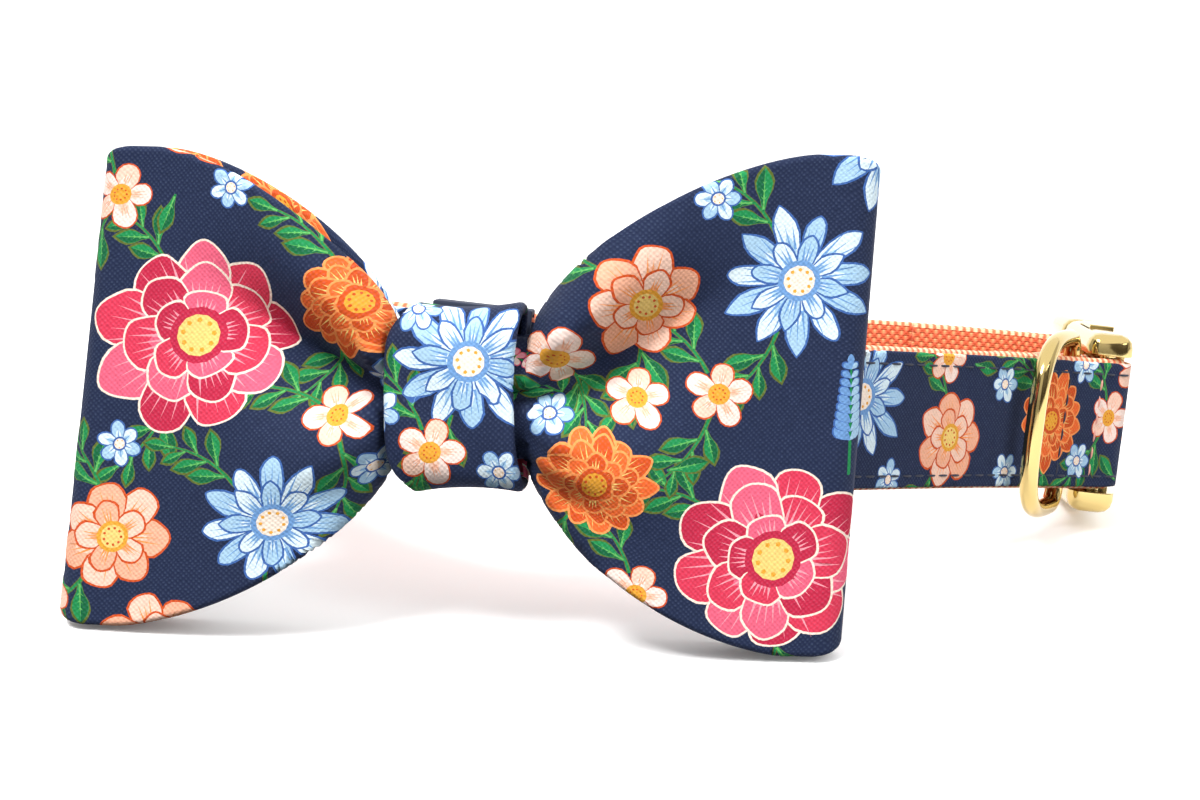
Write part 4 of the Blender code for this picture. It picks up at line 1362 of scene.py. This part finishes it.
def cotton_material():
    """Plain weave cotton that takes its colours from the print, with a painted glint on its
    threads.
    """
    made = Nodes("printed_cotton_cloth")
    along, across = made.flat_place()
    wobble = made.noise(along, across, 260.0, 260.0)
    along = made.math("MULTIPLY_ADD", wobble, 0.0011, along)
    across = made.math("MULTIPLY_ADD", wobble, -0.0009, across)
    paint = made.node("ShaderNodeAttribute", attribute_name="print")
    weave = made.math("MULTIPLY", made.wave(along, COTTON_PITCH), made.wave(across, COTTON_PITCH))
    warp = made.noise(along, across, 700.0, 2400.0)
    weft = made.noise(along, across, 2400.0, 700.0)
    threads = made.math("ADD", warp, weft)
    cloud = made.noise(along, across, 60.0, 60.0)
    factor = made.math("MULTIPLY_ADD", weave, 0.08, 0.60)
    factor = made.math("MULTIPLY_ADD", threads, 0.28, factor)
    factor = made.math("MULTIPLY_ADD", cloud, 0.18, factor)
    # Painted highlight: at raised thread crossings the colour is pulled towards a pale blue-grey, a
    # glint
    glint_spots = made.math("MULTIPLY", weave, made.math("SUBTRACT", threads, 0.55))
    glint = made.math("MULTIPLY", glint_spots, 0.26, clamp=True)
    shown = made.mix(glint, made.scaled(paint.outputs["Color"], factor), (0.16, 0.21, 0.32, 1.0))
    made.put(shown, made.shader.inputs["Base Color"])
    height = made.math("MULTIPLY_ADD", threads, 0.9, made.math("MULTIPLY", weave, 0.5))
    made.bump(height, 0.40, 0.00012)
    set_inputs(made.shader, {"Roughness": 0.78, "Specular IOR Level": 0.15,
                             "Sheen Weight": 0.01, "Sheen Roughness": 0.5})
    return made.material


def webbing_material():
    """Coral webbing with lighter dots in a woven lattice, painted highlights on the dots, cream
    edges.
    """
    made = Nodes("coral_webbing_weave")
    along, _ = made.flat_place()
    across = made.node("ShaderNodeAttribute", attribute_name="across").outputs["Fac"]
    first = made.wave(made.math("ADD", along, across), LATTICE_PITCH)
    second = made.wave(made.math("SUBTRACT", along, across), LATTICE_PITCH)
    lattice = made.math("MULTIPLY", first, second)
    knots = made.math("MULTIPLY_ADD", made.math("ABSOLUTE", lattice), 1.25, -0.10, clamp=True)
    # Painted highlight: the top of each lighter dot is tinted pale orange-cream
    dot_highlights = made.math("MULTIPLY_ADD", made.math("ABSOLUTE", lattice), 3.0, -2.1, clamp=True)
    rib = made.wave(across, RIB_PITCH)
    tone = made.noise(along, across, 500.0, 1500.0)
    coral = made.mix(tone, (0.62, 0.060, 0.020, 1.0), (0.86, 0.13, 0.040, 1.0))
    colour = made.mix(knots, coral, (0.93, 0.26, 0.10, 1.0))
    colour = made.mix(made.math("MULTIPLY", dot_highlights, 0.55), colour, (1.0, 0.60, 0.28, 1.0))
    edge = made.math("GREATER_THAN", made.math("ABSOLUTE", across),
                     STRAP_WIDTH / 2 - SELVEDGE_WIDTH)
    dash = made.math("MULTIPLY_ADD", made.wave(along, SELVEDGE_PITCH), 0.8, 0.55, clamp=True)
    thread = made.mix(dash, (0.80, 0.16, 0.06, 1.0), (0.97, 0.66, 0.40, 1.0))
    colour = made.mix(edge, colour, thread)
    made.put(colour, made.shader.inputs["Base Color"])
    made.bump(made.math("MULTIPLY_ADD", rib, 0.12, knots), 0.8, 0.00035)
    set_inputs(made.shader, {"Roughness": 0.62, "Sheen Weight": 0.1})
    return made.material


def plain_material(name, colour, roughness, metallic=0.0):
    """One plain finish."""
    made = Nodes(name)
    set_inputs(made.shader, {"Base Color": (*colour, 1.0), "Roughness": roughness,
                             "Metallic": metallic})
    return made.material


def round_node(name, material, width=0.00045):
    """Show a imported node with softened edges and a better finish."""
    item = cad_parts[name]
    item.data.materials.clear()
    item.data.materials.append(material)
    weld = item.modifiers.new("weld", "WELD")
    weld.merge_threshold = 0.00002
    bevel = item.modifiers.new("bevel", "BEVEL")
    bevel.width = width
    bevel.segments = 3
    bevel.limit_method = "ANGLE"
    bevel.angle_limit = math.radians(38)
    bevel.harden_normals = True
    item.data.shade_smooth()
    normals = item.modifiers.new("normals", "WEIGHTED_NORMAL")
    normals.keep_sharp = True


# Studio


def add_camera():
    """The camera of the photograph."""
    camera = bpy.data.objects.new("camera", bpy.data.cameras.new("camera"))
    bpy.context.scene.collection.objects.link(camera)
    camera.data.lens = CAMERA_LENS
    camera.data.sensor_width = 36.0
    camera.data.clip_start = 0.01
    sine, cosine = math.sin(CAMERA_YAW), math.cos(CAMERA_YAW)
    forward = Vector((sine * math.cos(CAMERA_PITCH), cosine * math.cos(CAMERA_PITCH),
                      -math.sin(CAMERA_PITCH)))
    right = Vector((cosine, -sine, 0.0))
    up = right.cross(forward)
    turned_right = math.cos(CAMERA_ROLL) * right + math.sin(CAMERA_ROLL) * up
    turned_up = -math.sin(CAMERA_ROLL) * right + math.cos(CAMERA_ROLL) * up
    columns = Matrix((turned_right, turned_up, -forward)).transposed()
    camera.matrix_world = Matrix.Translation(CAMERA_PLACE) @ columns.to_4x4()
    bpy.context.scene.camera = camera


def add_light(name, place, target, size, power):
    """A large soft light."""
    light = bpy.data.objects.new(name, bpy.data.lights.new(name, "AREA"))
    bpy.context.scene.collection.objects.link(light)
    light.data.shape = "SQUARE"
    light.data.size = size
    light.data.energy = power
    light.location = place
    aim = Vector(target) - Vector(place)
    light.rotation_euler = aim.to_track_quat("-Z", "Y").to_euler()


def add_card(name, corners, values, seen=True):
    """A flat board of the studio, with constants for its shader."""
    mesh = bpy.data.meshes.new(name)
    mesh.from_pydata(corners, [], [(0, 1, 2, 3)])
    card = bpy.data.objects.new(name, mesh)
    bpy.context.scene.collection.objects.link(card)
    card.visible_camera = seen
    mesh.materials.append(plain_material(name, (1.0, 1.0, 1.0), 0.9))
    set_inputs(mesh.materials[0].node_tree.nodes["Principled BSDF"], values)
    return card


def add_studio():
    """Soft white surroundings and a plain pale floor."""
    scene = bpy.context.scene
    scene.view_settings.view_transform = "Standard"
    world = bpy.data.worlds.new("studio")
    world.use_nodes = True
    nodes, links = world.node_tree.nodes, world.node_tree.links
    place = nodes.new("ShaderNodeTexCoord")
    split = nodes.new("ShaderNodeSeparateXYZ")
    shade = nodes.new("ShaderNodeMapRange")
    shade.interpolation_type = "SMOOTHSTEP"
    set_inputs(shade, {"From Min": -0.35, "From Max": 0.45, "To Min": 0.10, "To Max": 0.78})
    links.new(place.outputs["Generated"], split.inputs[0])
    links.new(split.outputs[2], shade.inputs["Value"])
    background = nodes["Background"]
    set_inputs(background, {"Color": WHITE})
    links.new(shade.outputs["Result"], background.inputs["Strength"])
    scene.world = world
    for row in LIGHTS:
        add_light(*row)
    wide = FLOOR_REACH
    corners = [(-wide, -wide, 0), (wide, -wide, 0), (wide, wide, 0), (-wide, wide, 0)]
    floor = add_card("floor", corners,
                     {"Base Color": (0.97, 0.97, 0.97, 1.0), "Emission Color": WHITE,
                      "Emission Strength": 0.06})
    floor.visible_diffuse = False
    add_card("sweep", [(-wide, SWEEP_BACK, 0), (wide, SWEEP_BACK, 0),
                       (wide, SWEEP_BACK, SWEEP_HEIGHT), (-wide, SWEEP_BACK, SWEEP_HEIGHT)],
             {"Emission Color": WHITE, "Emission Strength": 0.9})
    for name, left, front, right, back in BOARDS:
        corners = [(left, front, 0.0), (right, back, 0.0),
                   (right, back, BOARD_HEIGHT), (left, front, BOARD_HEIGHT)]
        board = add_card(name, corners, {"Base Color": (0.05, 0.04, 0.03, 1.0)}, seen=False)
        board.visible_diffuse = False
        board.visible_shadow = False


def build_seams(way, start, bar, thread, pale_thread):
    """The seams along both edges of the cover, and the two across it beside the D-ring."""
    edge = COVER_WIDTH / 2 - SEAM_INSET

    def across(distance, length):
        return [(bar - distance, spot, bar - distance, spot + length)
                for spot in np.arange(-edge, edge - 2 * MM, CROSS_STITCH_PITCH)]

    along = [(spot, side, spot + STITCH_LENGTH, side) for side in (-edge, edge)
             for spot in np.arange(start + MM, bar - MM, STITCH_PITCH)]
    return (build_stitches("strap_stitches", thread, way, along + across(*CHANNEL_SEAM)),
            build_stitches("end_stitches", pale_thread, way, across(*END_SEAM)))


def main():
    """Dress the frame and light it."""
    cotton = cotton_material()
    gold = plain_material("polished_gold", (0.60, 0.455, 0.185), 0.11, 1.0)
    thread = plain_material("navy_thread", (0.012, 0.016, 0.035), 0.6)
    pale_thread = plain_material("pink_thread", (0.75, 0.35, 0.28), 0.6)
    elastic = plain_material("navy_elastic_band", (0.022, 0.030, 0.060), 0.8)

    bow = build_bow(cotton)
    knot = build_knot(cotton)
    line, first = webbing_line()
    way = Way(line)
    webbing = build_webbing(webbing_material(), way)
    start = way.lengths[first] + COVER_END_MARGIN
    bar = way.lengths[first + STRAP_STATIONS - 1]
    end = way.lengths[first + STRAP_STATIONS + FOLD_STATIONS]
    cover = build_cover(cotton, way, start, end)
    seams, cross = build_seams(way, start, bar, thread, pale_thread)
    build_ring(gold)
    for name in ("buckle_socket", "buckle_plug"):
        round_node(name, gold)
    round_node("strap_holder", elastic, 0.0003)
    add_camera()
    add_studio()


main()
